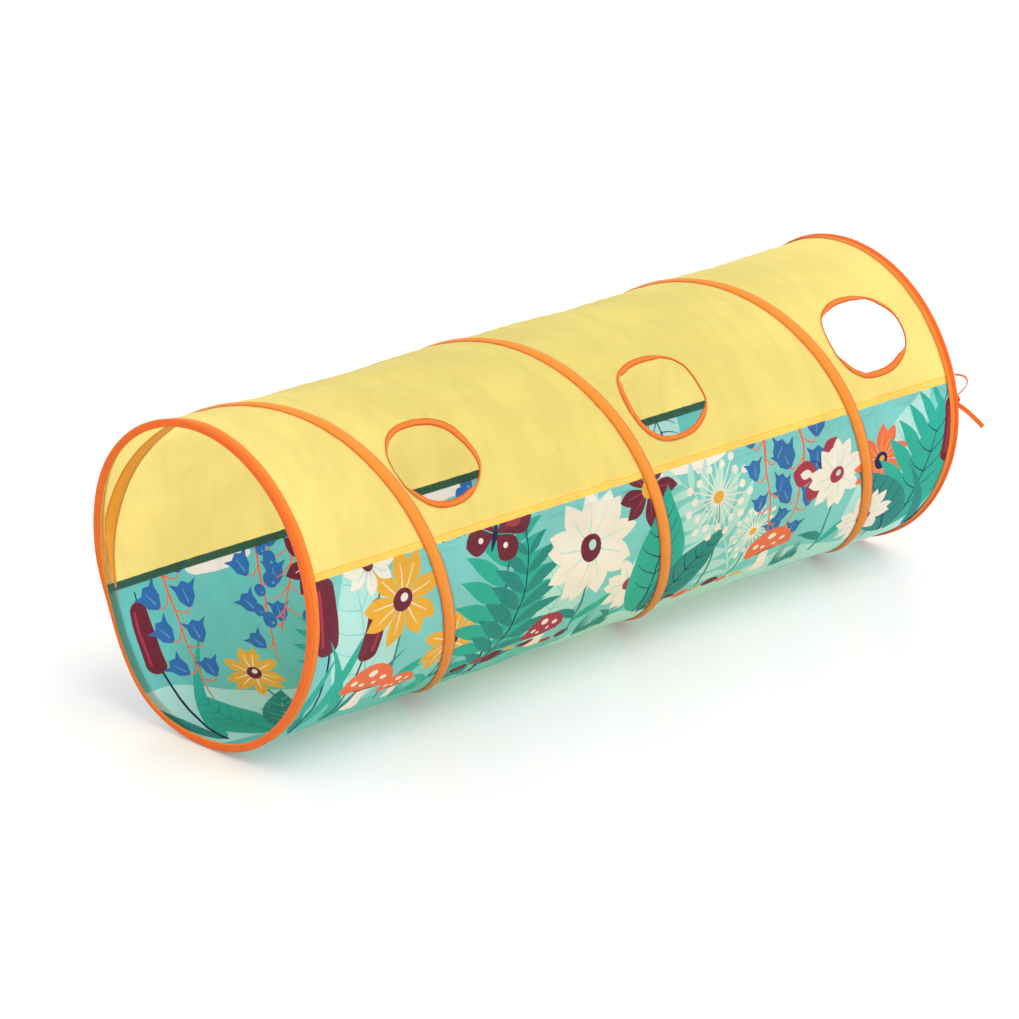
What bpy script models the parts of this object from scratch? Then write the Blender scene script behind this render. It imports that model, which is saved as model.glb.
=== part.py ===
"""Pop-up crawl tunnel for small children, fully open, lying on the floor.

A cloth tube hangs on one coil of spring-steel wire, which makes a closed ring at each mouth and three
turns between them. Metres, +Z up. X runs along the tunnel from the near mouth to the far mouth, -Y is
the front, with the peep holes, and the origin is on the floor below the tunnel's middle.

Round pieces share one set of stations round the tunnel's axis, so their facets lie parallel. Station 0
and station -1 bound the facet that lies on the floor, and a place between two stations is a fraction.
"""

import math

import bmesh
import bpy
import numpy as np
from mathutils import Matrix, Vector

# The coil: one wire. Its radius is from the tunnel's axis, its length from mouth ring to mouth ring,
# and both go to the wire's middle
RING_RADIUS = 0.230
LENGTH = 1.280
WIRE_DIAMETER = 0.0024
WHOLE_TURNS = 3

# The stations round the axis, as counts
FACETS = 36
FRONT_SEAM = 10
BACK_SEAM = FRONT_SEAM + FACETS // 2
HELIX_START = BACK_SEAM + 1
CRIMP_OVERLAP = 4
WIRE_SHIFT_STATIONS = 3

# Cloth and tapes
CLOTH_THICKNESS = 0.0004
TAPE_THICKNESS = 0.0006
CLEARANCE = 0.0003
DRAW_IN = 0.0035
DRAW_IN_SHARES = (0.0, 0.72, 1.0, 0.72, 0.0, 0.0)
TAUT_MARGIN = 0.0015
MOST_TAUT_SHARE = 0.3
END_TAPE_WIDTH = 0.016
COIL_TAPE_WIDTH = 0.021
COIL_TAPE_CROWN = 0.0024
COIL_TAPE_SLOPE = 0.0018
FOLD_DEPTH = 0.0025
FOLD_FLAT = 0.0008
FOLD_CORNER = 0.0011

# Crimp sleeves
SLEEVE_LENGTH = 0.024
SLEEVE_WALL = 0.0005
SLEEVE_FIT = 0.00015
SLEEVE_ROUND_STEPS = 5

# Peep holes, measured on the cloth
WINDOW_LENGTH = 0.134
WINDOW_HEIGHT = 0.124
WINDOW_RISE = 0.110
WINDOW_PLACE_SHARES = (0.22, 0.561, 0.89)
WINDOW_TAPE_WIDTH = 0.008
WINDOW_TAPE_THICKNESS = 0.0005
WINDOW_CLEARANCE = 0.0007
WINDOW_STEPS = 44

# Tie tape at the far ring
TIE_WIDTH = 0.007
TIE_THICKNESS = 0.0006
TIE_RISE = 0.024
KNOT_SIZE = (0.008, 0.009, 0.011)
LOOP_ROUTE = [(0.0, 0.0, 0.0), (0.0058, -0.003, 0.0055), (0.0115, -0.0055, 0.0120), (0.0150, -0.0060, 0.0195),
              (0.0130, -0.0030, 0.0265), (0.0065, 0.0010, 0.0300), (-0.0010, 0.0042, 0.0318)]
LOOP_ACROSS = (0.62, 0.72, -0.31)
TAIL_ROUTE = [(0.0, 0.0, 0.0), (0.0085, -0.0070, -0.0062), (0.0165, -0.0130, -0.0150), (0.0235, -0.0185, -0.0262),
              (0.0290, -0.0228, -0.0385), (0.0325, -0.0255, -0.0505)]
TAIL_ACROSS = (0.70, -0.22, 0.60)
ROUTE_STEPS = 3

# How far a cutter reaches past what it cuts
OVERRUN = 0.02

# Colours, from the photograph
TAFFETA_YELLOW = (0.96, 0.76, 0.15, 1.0)
PRINT_AQUA = (0.22, 0.62, 0.57, 1.0)
TAPE_ORANGE = (1.0, 0.19, 0.02, 1.0)
SPRING_STEEL = (0.45, 0.45, 0.47, 1.0)
SLEEVE_STEEL = (0.62, 0.62, 0.64, 1.0)

# Worked out from the sizes above
STEP_ANGLE = 2 * math.pi / FACETS
WIRE_RADIUS = WIRE_DIAMETER / 2
WIRE_BESIDE_WIRE = WIRE_DIAMETER + CLEARANCE
HELIX_STEPS = WHOLE_TURNS * FACETS + HELIX_START - BACK_SEAM
STEP_PITCH = (LENGTH - 2 * WIRE_BESIDE_WIRE) / HELIX_STEPS
TURN_PITCH = STEP_PITCH * FACETS
LEAN = math.atan2(TURN_PITCH, 2 * math.pi * RING_RADIUS)
CLOTH_RADIUS = RING_RADIUS - WIRE_RADIUS - CLEARANCE
OUTER_TAPE_RADIUS = RING_RADIUS + WIRE_RADIUS + CLEARANCE + TAPE_THICKNESS / 2
INNER_TAPE_RADIUS = CLOTH_RADIUS - CLOTH_THICKNESS - CLEARANCE - TAPE_THICKNESS / 2
AXIS_HEIGHT = OUTER_TAPE_RADIUS * math.cos(STEP_ANGLE / 2) + TAPE_THICKNESS / 2
COIL_TAPE_START = END_TAPE_WIDTH + CLEARANCE
COIL_TAUT = COIL_TAPE_WIDTH / 2 / math.cos(LEAN) + TAUT_MARGIN
SEAM_HALF_GAP = CLEARANCE / 2 / (RING_RADIUS * STEP_ANGLE)
SLEEVE_HALF_HEIGHT = WIRE_RADIUS + SLEEVE_FIT + SLEEVE_WALL
SLEEVE_LIFT = SLEEVE_HALF_HEIGHT - WIRE_RADIUS + TAPE_THICKNESS / 3
SLEEVE_BULGE = SLEEVE_LIFT + SLEEVE_HALF_HEIGHT - WIRE_RADIUS


def place(x, radius, station):
    """The point at x along the tunnel from the near ring, at a radius from its axis."""
    angle = -math.pi / 2 + (station + 0.5) * STEP_ANGLE
    return Vector((x - LENGTH / 2, -radius * math.cos(angle), AXIS_HEIGHT + radius * math.sin(angle)))


def crossing(station, turn):
    """How far along the tunnel the wire is at a station, on its turn 0, 1 or 2."""
    steps = HELIX_START - station + turn * FACETS
    return WIRE_BESIDE_WIRE + steps * STEP_PITCH


def column(station):
    """The cloth along the tunnel at a station: places along it, and radii of the outer face."""
    wires = [crossing(station, turn) for turn in range(WHOLE_TURNS)]
    knots = [0.0, *(min(max(x, END_TAPE_WIDTH), LENGTH - END_TAPE_WIDTH) for x in wires), LENGTH]
    along, radii = [0.0], [CLOTH_RADIUS]
    for n, (low, high) in enumerate(zip(knots, knots[1:])):
        span = high - low
        first = END_TAPE_WIDTH + TAUT_MARGIN if n == 0 else COIL_TAUT
        last = END_TAPE_WIDTH + TAUT_MARGIN if n == WHOLE_TURNS else COIL_TAUT
        start = low + min(first, MOST_TAUT_SHARE * span)
        end = high - min(last, MOST_TAUT_SHARE * span)
        along += [start + (end - start) * quarter / 4 for quarter in range(5)] + [high]
        depth = DRAW_IN * min(1, span / TURN_PITCH)
        radii += [CLOTH_RADIUS - depth * share for share in DRAW_IN_SHARES]
    return along, radii


def cloth_place(x, angle, lift):
    """The point over the cloth's outer face at x, and at an angle up from the front, on its facets."""
    station = (angle + math.pi / 2) / STEP_ANGLE - 0.5
    low = math.floor(station)
    share = station - low
    (along_low, radii_low), (along_high, radii_high) = column(low), column(low + 1)
    between = [a + (b - a) * share for a, b in zip(along_low, along_high)]
    at = np.interp(x, between, range(len(between)))
    ends = []
    for along, radii, where in ((along_low, radii_low, low), (along_high, radii_high, low + 1)):
        steps = range(len(along))
        ends.append(place(np.interp(at, steps, along), np.interp(at, steps, radii) + lift, where))
    return ends[0].lerp(ends[1], share)


def material(name, colour, roughness, metallic=0.0):
    made = bpy.data.materials.new(name)
    made.use_nodes = True
    shader = made.node_tree.nodes["Principled BSDF"]
    shader.inputs["Base Color"].default_value = colour
    shader.inputs["Roughness"].default_value = roughness
    shader.inputs["Metallic"].default_value = metallic
    made.diffuse_color = colour
    return made


def link(obj, collection, finish=None):
    collection.objects.link(obj)
    if finish:
        obj.data.materials.append(finish)
    return obj


def mesh_object(name, bm, collection, finish=None):
    """An object from bm, with its origin at the floor below the tunnel's middle."""
    mesh = bpy.data.meshes.new(name)
    bm.to_mesh(mesh)
    bm.free()
    mesh.shade_smooth()
    mesh.set_sharp_from_angle(angle=math.radians(35))
    return link(bpy.data.objects.new(name, mesh), collection, finish)


def solidify(obj, thickness, offset=0.0):
    shell = obj.modifiers.new("cloth thickness", "SOLIDIFY")
    shell.thickness = thickness
    shell.offset = offset
    shell.use_even_offset = True
    return obj


def subtract(obj, cutter):
    cut = obj.modifiers.new("cut " + cutter.name, "BOOLEAN")
    cut.operation = "DIFFERENCE"
    cut.object = cutter
    return obj


def helper(obj):
    obj.hide_render = True
    obj.display_type = "WIRE"
    return obj


def spun(profile, station, steps, along=0.0):
    """A strip: the profile of (x, radius) points at a station, turned round the axis step by step.

    The turn goes from the back over the top to the front, as the wire does, along metres a step.
    """
    bm = bmesh.new()
    points = [bm.verts.new(place(x, radius, station)) for x, radius in profile]
    edges = [bm.edges.new(pair) for pair in zip(points, points[1:])]
    whole = steps == FACETS and along == 0
    bmesh.ops.spin(bm, geom=points + edges, cent=Vector((0, 0, AXIS_HEIGHT)), axis=Vector((1, 0, 0)),
                   dvec=Vector((along, 0, 0)), angle=steps * STEP_ANGLE, steps=steps, use_merge=whole)
    bmesh.ops.recalc_face_normals(bm, faces=bm.faces)
    return bm


def panel(name, first, last, collection, finish):
    """Half of the cloth tube, from one seam to the other, drawn in between the wire's turns."""
    across = last - first
    lengthwise = len(column(first)[0]) - 1
    bm = bmesh.new()
    bmesh.ops.create_grid(bm, x_segments=lengthwise, y_segments=across, size=1)
    for vert in bm.verts:
        n = round((vert.co.x + 1) / 2 * lengthwise)
        station = first + (vert.co.y + 1) / 2 * across
        station = min(max(station, first + SEAM_HALF_GAP), last - SEAM_HALF_GAP)
        along, radii = column(station)
        vert.co = place(along[n], radii[n], station)
    outward = max(bm.faces, key=lambda face: face.calc_center_median().z).normal.z
    obj = mesh_object(name, bm, collection, finish)
    return solidify(obj, CLOTH_THICKNESS, -1.0 if outward > 0 else 1.0)


def window_angle():
    """How far up from the front, round the axis, the middle of each peep hole is."""
    front_seam = -math.pi / 2 + (FRONT_SEAM + 0.5) * STEP_ANGLE
    return front_seam + WINDOW_RISE / CLOTH_RADIUS


def window_cutter(name, share, cutters):
    """An oval prism along the sight line through a peep hole's middle."""
    angle = window_angle()
    bm = bmesh.new()
    bmesh.ops.create_cone(bm, cap_ends=True, segments=WINDOW_STEPS, radius1=1, radius2=1, depth=1)
    outward = Vector((0, -math.cos(angle), math.sin(angle)))
    turn = Matrix((Vector((1, 0, 0)), outward.cross(Vector((1, 0, 0))), outward)).transposed().to_4x4()
    middle = Vector((LENGTH * share - LENGTH / 2, 0, AXIS_HEIGHT)) + outward * CLOTH_RADIUS
    size = Matrix.Diagonal((WINDOW_LENGTH / 2, WINDOW_HEIGHT / 2, RING_RADIUS, 1))
    bmesh.ops.transform(bm, matrix=Matrix.Translation(middle) @ turn @ size, verts=bm.verts)
    return helper(mesh_object(name, bm, cutters))


def window_binding(name, share, collection, finish):
    """Bias tape folded over a peep hole's edge: a strip round the hole, with a leg on each face."""
    half = WINDOW_TAPE_THICKNESS / 2
    over = WINDOW_CLEARANCE + half
    under = -CLOTH_THICKNESS - over
    fold = [(-over * 1.25, over / 3), (-over * 1.25, under - (under + CLOTH_THICKNESS) * 2 / 3)]
    section = [(WINDOW_TAPE_WIDTH, over), (0, over), *fold, (0, under), (WINDOW_TAPE_WIDTH, under)]
    bm = bmesh.new()
    points = [bm.verts.new((WINDOW_LENGTH / 2 + out, 0, lift)) for out, lift in section]
    edges = [bm.edges.new(pair) for pair in zip(points, points[1:])]
    bmesh.ops.spin(bm, geom=points + edges, cent=Vector(), axis=Vector((0, 0, 1)), dvec=Vector(),
                   angle=2 * math.pi, steps=WINDOW_STEPS, use_merge=True)
    for vert in bm.verts:
        round_hole = math.atan2(vert.co.y, vert.co.x)
        out = math.hypot(vert.co.x, vert.co.y) - WINDOW_LENGTH / 2
        x = LENGTH * share + (WINDOW_LENGTH / 2 + out) * math.cos(round_hole)
        rise = math.asin((WINDOW_HEIGHT / 2 + out) * math.sin(round_hole) / CLOTH_RADIUS)
        vert.co = cloth_place(x, window_angle() + rise, vert.co.z)
    bmesh.ops.recalc_face_normals(bm, faces=bm.faces)
    return solidify(mesh_object(name, bm, collection, finish), WINDOW_TAPE_THICKNESS)


def ring_binding(name, mouth, inward, crimp, collection, finish):
    """Tape folded over the end ring and the cloth's edge, with room for the crimp sleeve.

    mouth is the ring's place along the tunnel, inward is 1 at the near ring and -1 at the far one, and
    crimp is the station before the sleeve's facet.
    """
    outer_half = [(END_TAPE_WIDTH, OUTER_TAPE_RADIUS), (-FOLD_FLAT, OUTER_TAPE_RADIUS),
                  (-FOLD_DEPTH, OUTER_TAPE_RADIUS - FOLD_CORNER)]
    inner_half = [(-FOLD_DEPTH, INNER_TAPE_RADIUS + FOLD_CORNER), (-FOLD_FLAT, INNER_TAPE_RADIUS),
                  (END_TAPE_WIDTH, INNER_TAPE_RADIUS)]
    bm = spun([(mouth + inward * x, radius) for x, radius in outer_half + inner_half], FRONT_SEAM, FACETS)
    axis = Vector((0, 0, AXIS_HEIGHT))
    for station in (crimp, crimp + 1):
        outward = place(0, 1, station) - place(0, 0, station)
        for vert in bm.verts:
            radial = Vector((0, *(vert.co - axis).yz))
            if (radial.normalized() - outward).length < STEP_ANGLE / 2 and radial.length > RING_RADIUS:
                vert.co += outward * SLEEVE_BULGE
    return solidify(mesh_object(name, bm, collection, finish), TAPE_THICKNESS)


def trim_to_mouths(obj, cutters):
    """Cuts a coil tape where the end rings' tapes cover it."""
    for name, low, high in (("near", -OVERRUN, COIL_TAPE_START),
                            ("far", LENGTH - COIL_TAPE_START, LENGTH + OVERRUN)):
        bm = bmesh.new()
        bmesh.ops.create_cube(bm, size=1)
        wide = 2 * (RING_RADIUS + OVERRUN)
        middle = Vector(((low + high) / 2 - LENGTH / 2, 0, AXIS_HEIGHT))
        size = Matrix.Diagonal((high - low, wide, wide, 1))
        bmesh.ops.transform(bm, matrix=Matrix.Translation(middle) @ size, verts=bm.verts)
        subtract(obj, helper(mesh_object(f"{name} end of {obj.name}", bm, cutters)))
    return obj


def coil_tape_outer(collection, cutters, finish):
    """Tape over the wire's turns on the outside, with a crown over the wire that stays off the floor."""
    flat = CLOTH_RADIUS + CLEARANCE + TAPE_THICKNESS / 2
    top = OUTER_TAPE_RADIUS - CLEARANCE / 4
    half = COIL_TAPE_WIDTH / 2 / math.cos(LEAN)
    crown = COIL_TAPE_CROWN / 2
    foot = crown + COIL_TAPE_SLOPE
    shape = [(-half, flat), (-foot, flat), (-crown, top)]
    shape += [(-x, radius) for x, radius in reversed(shape)]
    start = crossing(HELIX_START, 0)
    bm = spun([(start + x, radius) for x, radius in shape], HELIX_START, HELIX_STEPS, STEP_PITCH)
    obj = solidify(mesh_object("coil_tape_outer", bm, collection, finish), TAPE_THICKNESS)
    return trim_to_mouths(obj, cutters)


def coil_tape_inner(collection, cutters, finish):
    """Flat tape behind the wire's turns on the inside."""
    half = COIL_TAPE_WIDTH / 2 / math.cos(LEAN)
    start = crossing(HELIX_START, 0)
    shape = [(start - half, INNER_TAPE_RADIUS), (start + half, INNER_TAPE_RADIUS)]
    bm = spun(shape, HELIX_START, HELIX_STEPS, STEP_PITCH)
    obj = solidify(mesh_object("coil_tape_inner", bm, collection, finish), TAPE_THICKNESS)
    return trim_to_mouths(obj, cutters)


def ease(share):
    """0 to 1, level at both ends."""
    share = min(max(share, 0), 1)
    return share * share * (3 - 2 * share)


def wire_route():
    """The wire's middle, from the near crimp round the near ring, along the coil, round the far ring."""
    near_start = HELIX_START + CRIMP_OVERLAP
    points = []
    for n in range(FACETS + CRIMP_OVERLAP):
        shift = ease((n - (FACETS - WIRE_SHIFT_STATIONS)) / WIRE_SHIFT_STATIONS)
        lift = SLEEVE_LIFT if n in (0, 1, FACETS, FACETS + 1) else 0
        points.append(place(shift * WIRE_BESIDE_WIRE, RING_RADIUS + lift, near_start - n))
    for n in range(HELIX_STEPS + 1):
        points.append(place(WIRE_BESIDE_WIRE + n * STEP_PITCH, RING_RADIUS, HELIX_START - n))
    for n in range(1, FACETS + CRIMP_OVERLAP + 1):
        shift = ease((n - CRIMP_OVERLAP) / WIRE_SHIFT_STATIONS)
        back = FACETS + CRIMP_OVERLAP - n
        lift = SLEEVE_LIFT if back in (0, 1, FACETS, FACETS + 1) else 0
        x = LENGTH - WIRE_BESIDE_WIRE * (1 - shift)
        points.append(place(x, RING_RADIUS + lift, BACK_SEAM - n))
    return points


def coil_wire(collection, finish):
    curve = bpy.data.curves.new("coil_wire", "CURVE")
    curve.dimensions = "3D"
    curve.bevel_depth = WIRE_RADIUS
    curve.bevel_resolution = 1
    curve.use_fill_caps = True
    points = wire_route()
    spline = curve.splines.new("POLY")
    spline.points.add(len(points) - 1)
    for point, at in zip(spline.points, points):
        point.co = (*at, 1)
    return link(bpy.data.objects.new("coil_wire", curve), collection, finish)


def oval(spline, half_height, along):
    """An oval outline with round ends, long by the distance from wire to wire."""
    ends = ((along, -math.pi / 2), (0, math.pi / 2))
    points = []
    for middle, start in ends:
        for n in range(SLEEVE_ROUND_STEPS + 1):
            angle = start + math.pi * n / SLEEVE_ROUND_STEPS
            points.append((middle + half_height * math.cos(angle), half_height * math.sin(angle)))
    spline.points.add(len(points) - 1)
    for point, (x, y) in zip(spline.points, points):
        point.co = (x, y, 0, 1)
    spline.use_cyclic_u = True


def crimp_sleeve(name, x, crimp, collection, finish):
    """An oval steel sleeve round both passes of the wire, in the middle of one facet."""
    curve = bpy.data.curves.new(name, "CURVE")
    curve.dimensions = "2D"
    curve.fill_mode = "BOTH"
    curve.extrude = SLEEVE_LENGTH / 2
    for half_height in (SLEEVE_HALF_HEIGHT, WIRE_RADIUS + SLEEVE_FIT):
        oval(curve.splines.new("POLY"), half_height, WIRE_BESIDE_WIRE)
    first, last = (place(x, RING_RADIUS + SLEEVE_LIFT, station) for station in (crimp, crimp + 1))
    along = (last - first).normalized()
    lengthwise = Vector((1, 0, 0))
    axes = Matrix((lengthwise, along.cross(lengthwise), along)).transposed().to_4x4()
    obj = link(bpy.data.objects.new(name, curve), collection, finish)
    obj.matrix_world = Matrix.Translation((first + last) / 2) @ axes
    return obj


def smooth_route(route):
    """Points on one smooth curve through the route's own points."""
    ends = [route[0] * 2 - route[1], *route, route[-1] * 2 - route[-2]]
    points = []
    for a, b, c, d in zip(ends, ends[1:], ends[2:], ends[3:]):
        for n in range(ROUTE_STEPS):
            t = n / ROUTE_STEPS
            points.append(b + (c - a) * t / 2 + (2 * a - 5 * b + 4 * c - d) * t * t / 2
                          + (3 * b - 3 * c + d - a) * t * t * t / 2)
    return [*points, route[-1]]


def ribbon(name, start, route, across, collection, finish):
    """A flat tape that follows the route, its width lying along one direction."""
    half = Vector(across).normalized() * TIE_WIDTH / 2
    points = smooth_route([start + Vector(offset) for offset in route])
    bm = bmesh.new()
    verts = [bm.verts.new(point - half) for point in points]
    edges = [bm.edges.new(pair) for pair in zip(verts, verts[1:])]
    swept = bmesh.ops.extrude_edge_only(bm, edges=edges)["geom"]
    bmesh.ops.translate(bm, vec=2 * half, verts=[g for g in swept if isinstance(g, bmesh.types.BMVert)])
    return solidify(mesh_object(name, bm, collection, finish), TIE_THICKNESS)


def tie(collection, finish):
    """A tie tape knotted against the far ring: a knot, a loop that goes back to the ring, and a tail."""
    station = FRONT_SEAM - TIE_RISE / (RING_RADIUS * STEP_ANGLE)
    mouth = LENGTH + FOLD_DEPTH + TAPE_THICKNESS / 2
    at = place(mouth + CLEARANCE + KNOT_SIZE[0] / 2, RING_RADIUS, station)
    bm = bmesh.new()
    bmesh.ops.create_cube(bm, size=1)
    size = Matrix.Diagonal((*KNOT_SIZE, 1))
    bmesh.ops.transform(bm, matrix=Matrix.Translation(at) @ size, verts=bm.verts)
    knot = mesh_object("tie_knot", bm, collection, finish)
    rounding = knot.modifiers.new("rounding", "BEVEL")
    rounding.width = KNOT_SIZE[0] / 3
    rounding.segments = 2
    for name, way, route, across in (("tie_loop", 1, LOOP_ROUTE, LOOP_ACROSS),
                                     ("tie_tail", -1, TAIL_ROUTE, TAIL_ACROSS)):
        tilt = abs(Vector(across).normalized().z) * TIE_WIDTH / 2
        away = KNOT_SIZE[2] / 2 + tilt + TIE_THICKNESS / 2
        ribbon(name, at + Vector((0, 0, way * away)), route, across, collection, finish)


def main():
    for old in list(bpy.data.objects):
        bpy.data.objects.remove(old, do_unlink=True)
    tunnel = bpy.data.collections.new("play_tunnel")
    cutters = bpy.data.collections.new("cutters")
    for collection in (tunnel, cutters):
        bpy.context.scene.collection.children.link(collection)

    yellow = material("yellow taffeta", TAFFETA_YELLOW, 0.55)
    printed = material("printed taffeta", PRINT_AQUA, 0.55)
    orange = material("orange binding tape", TAPE_ORANGE, 0.7)
    steel = material("spring steel", SPRING_STEEL, 0.35, 1.0)
    sleeve = material("crimped sleeve steel", SLEEVE_STEEL, 0.45, 1.0)

    upper = panel("upper_panel", FRONT_SEAM, BACK_SEAM, tunnel, yellow)
    panel("lower_panel", BACK_SEAM - FACETS, FRONT_SEAM, tunnel, printed)
    for n, share in enumerate(WINDOW_PLACE_SHARES, 1):
        subtract(upper, window_cutter(f"peep hole {n}", share, cutters))
        window_binding(f"window_binding_{n}", share, tunnel, orange)

    near_crimp = HELIX_START + CRIMP_OVERLAP - 1
    far_crimp = BACK_SEAM - CRIMP_OVERLAP
    coil_wire(tunnel, steel)
    crimp_sleeve("near_crimp_sleeve", 0, near_crimp, tunnel, sleeve)
    crimp_sleeve("far_crimp_sleeve", LENGTH - WIRE_BESIDE_WIRE, far_crimp, tunnel, sleeve)
    ring_binding("near_ring_binding", 0, 1, near_crimp, tunnel, orange)
    ring_binding("far_ring_binding", LENGTH, -1, far_crimp, tunnel, orange)
    coil_tape_outer(tunnel, cutters, orange)
    coil_tape_inner(tunnel, cutters, orange)
    tie(tunnel, orange)


main()
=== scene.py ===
"""The looks of a small child's pop-up crawl tunnel: cloth, print, tapes, stitching, floor and light.

Metres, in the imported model's frame: x runs along the tunnel from its near mouth, -y is the front with the
peep holes, and +z is up. A place on the cloth is x along the tunnel and an angle round it, in radians:
nothing at the front, a quarter turn at the top. The arc is that angle times the coil's radius.
"""

import math

import bmesh
import bpy
import numpy as np
from mathutils import Matrix, Vector
from mathutils.geometry import delaunay_2d_cdt


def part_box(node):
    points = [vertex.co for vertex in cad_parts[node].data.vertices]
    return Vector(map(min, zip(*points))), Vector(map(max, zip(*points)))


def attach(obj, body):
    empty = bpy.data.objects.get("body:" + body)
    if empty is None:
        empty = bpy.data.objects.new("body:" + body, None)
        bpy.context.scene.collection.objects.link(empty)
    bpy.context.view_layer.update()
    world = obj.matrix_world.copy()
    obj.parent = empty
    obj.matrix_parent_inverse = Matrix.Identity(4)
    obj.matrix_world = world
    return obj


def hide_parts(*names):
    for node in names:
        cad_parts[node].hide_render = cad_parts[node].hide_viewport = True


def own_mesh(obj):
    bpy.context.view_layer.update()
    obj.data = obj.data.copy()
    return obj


MM = 0.001
DEGREE = math.pi / 180
TURN = 2 * math.pi

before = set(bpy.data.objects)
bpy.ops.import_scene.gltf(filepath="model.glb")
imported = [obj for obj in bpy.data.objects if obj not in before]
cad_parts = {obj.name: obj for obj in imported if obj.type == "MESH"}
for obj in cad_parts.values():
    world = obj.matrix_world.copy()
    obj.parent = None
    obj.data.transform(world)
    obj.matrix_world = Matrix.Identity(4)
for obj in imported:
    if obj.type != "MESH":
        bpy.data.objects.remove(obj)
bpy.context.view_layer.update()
near_low, near_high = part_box("near_ring_binding")
far_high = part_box("far_ring_binding")[1]

# The coil and the cloth tube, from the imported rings
FOLD_BEYOND_WIRE = 2.8 * MM
TAPE_BEYOND_WIRE = 2.1 * MM
BELLY = 5 * MM
AXIS_HEIGHT = (near_low.z + near_high.z) / 2 + BELLY
COIL_RADIUS = (near_high.z - near_low.z) / 2 - TAPE_BEYOND_WIRE
NEAR_MOUTH = near_low.x + FOLD_BEYOND_WIRE
FAR_MOUTH = far_high.x - FOLD_BEYOND_WIRE
LENGTH = FAR_MOUTH - NEAR_MOUTH
WIRE_RADIUS = 1.2 * MM
WIRE_BESIDE_WIRE = 2.7 * MM
CLOTH_RADIUS = COIL_RADIUS - 1.7 * MM

FRONT_SEAM = 15 * DEGREE
BACK_SEAM = FRONT_SEAM + TURN / 2
COIL_START = 205 * DEGREE
COIL_TURNS = 3 + 10 / 360
PITCH = (LENGTH - 2 * WIRE_BESIDE_WIRE) / COIL_TURNS
LEAN = math.atan2(PITCH, TURN * COIL_RADIUS)
LAG = 15 * MM
LAG_TURNS = 0.42
CRIMP_OVERLAP = 40 * DEGREE
WIRE_SHIFT = 30 * DEGREE
SLEEVE_LENGTH = 24 * MM
SLEEVE_RADIUS = 1.6 * MM
NEAR_CRIMP = 240 * DEGREE
FAR_CRIMP = 160 * DEGREE

# The cloth
HALF_WIDTH = CLOTH_RADIUS * TURN / 2
CLOTH_ROWS = 242
ROW = HALF_WIDTH / CLOTH_ROWS
ALLOWANCE_ROWS = 4
SEAM_STRIP = 10 * MM
ALLOWANCE = ALLOWANCE_ROWS * ROW
ALLOWANCE_DEPTH = 0.9 * MM
LOOSE_EDGE = 0.6 * MM
SEAM_OVERLAP = 0.1 * MM
DRAW_IN = 2.2 * MM
END_TAPE_WIDTH = 16 * MM
COIL_TAPE_WIDTH = 21 * MM
GATHERS = 0.8 * MM
DRAG_LINES = 1.9 * MM
SEAM_PUCKERS = 1.1 * MM
HOLE_PUCKERS = 1.2 * MM
SEAM_GROOVE = 0.8 * MM
CREASES = 0.35 * MM
GATHERS_REACH = 16 * MM
SEAM_PUCKERS_REACH = 15 * MM
HOLE_PUCKERS_REACH = 17 * MM
SEAM_GROOVE_REACH = 1.6 * MM
TAUT_BESIDE_TAPE = 14 * MM
TAUT_BESIDE_BACK_SEAM = (16 * MM, 60 * MM)

# How far the soft mouths stand out from a circle, or in: degrees round them, and millimetres. The corners of
# this table and the like ones are eased over a few degrees.
CORNERS_EASED = (-5, -2.5, 0, 2.5, 5)
NEAR_MOUTH_SHAPE = ((0, 0), (60, 1), (95, 2), (112, 3), (126, 5.5), (145, 7), (155, 5.5), (165, 1.5),
                    (176, -3), (187, -8), (198, -14.5), (206, -15), (214, -10), (223, -5), (230, -1),
                    (238, 2), (250, 1), (262, 0), (300, 0))
FAR_MOUTH_SHAPE = ((0, 6), (30, 4), (60, 4.5), (110, 4.5), (130, 2), (145, 0), (300, 0), (322, 2.5),
                   (340, 5))
MOUTH_SHAPE_REACH = 95 * MM
# How the underside hangs to the floor: degrees round it, and shares of BELLY
BELLY_SHAPE = ((222, 0), (234, 0.5), (245, 0.9), (255, 1), (290, 1), (305, 0.8), (320, 0.4), (336, 0))

# The peep holes, on the cloth
HOLE_LENGTH = 134 * MM
HOLE_HEIGHTS = (124 * MM, 118.5 * MM, 120 * MM)
HOLE_TAPE_WIDTH = 8 * MM
HOLE_PLACES = ((0.2224, 113 * MM), (0.5655, 106 * MM), (0.893, 106 * MM))
HOLE_SQUARENESS = (2.2, 2.35, 2.2)
HOLE_UNEVEN = 0.012
HOLE_CUT = 0.55

# The tie at the far ring: the routes from the knot. The tail is pulled straighter than its solid.
TIE_WIDTH = 7 * MM
TIE_THICKNESS = 0.6 * MM
LOOP_THICKNESS = 1.6 * MM
KNOT_HEIGHT = 11 * MM
KNOT_STRETCH = (1.0 * MM, 1.25 * MM, 2.2 * MM)
KNOT_ACROSS = (0.2, 0.5, 1.0)
KNOT_TAPE_WIDTH = 4 * MM
LOOP_ROUTE = [(0.0, 0.0, 0.0), (0.0058, -0.003, 0.0055), (0.0115, -0.0055, 0.0120),
              (0.0150, -0.0060, 0.0195), (0.0130, -0.0030, 0.0265), (0.0065, 0.0010, 0.0300),
              (-0.0010, 0.0042, 0.0318)]
LOOP_ACROSS = Vector((0.83, 0.55, -0.03)).normalized()
TAIL_ROUTE = [(0.0, 0.0, 0.0), (0.0066, -0.0051, -0.0058), (0.0133, -0.0101, -0.0127),
              (0.0200, -0.0151, -0.0208), (0.0265, -0.0200, -0.0290), (0.0322, -0.0243, -0.0372)]
TAIL_ACROSS = Vector((0.70, -0.22, 0.60)).normalized()

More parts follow.
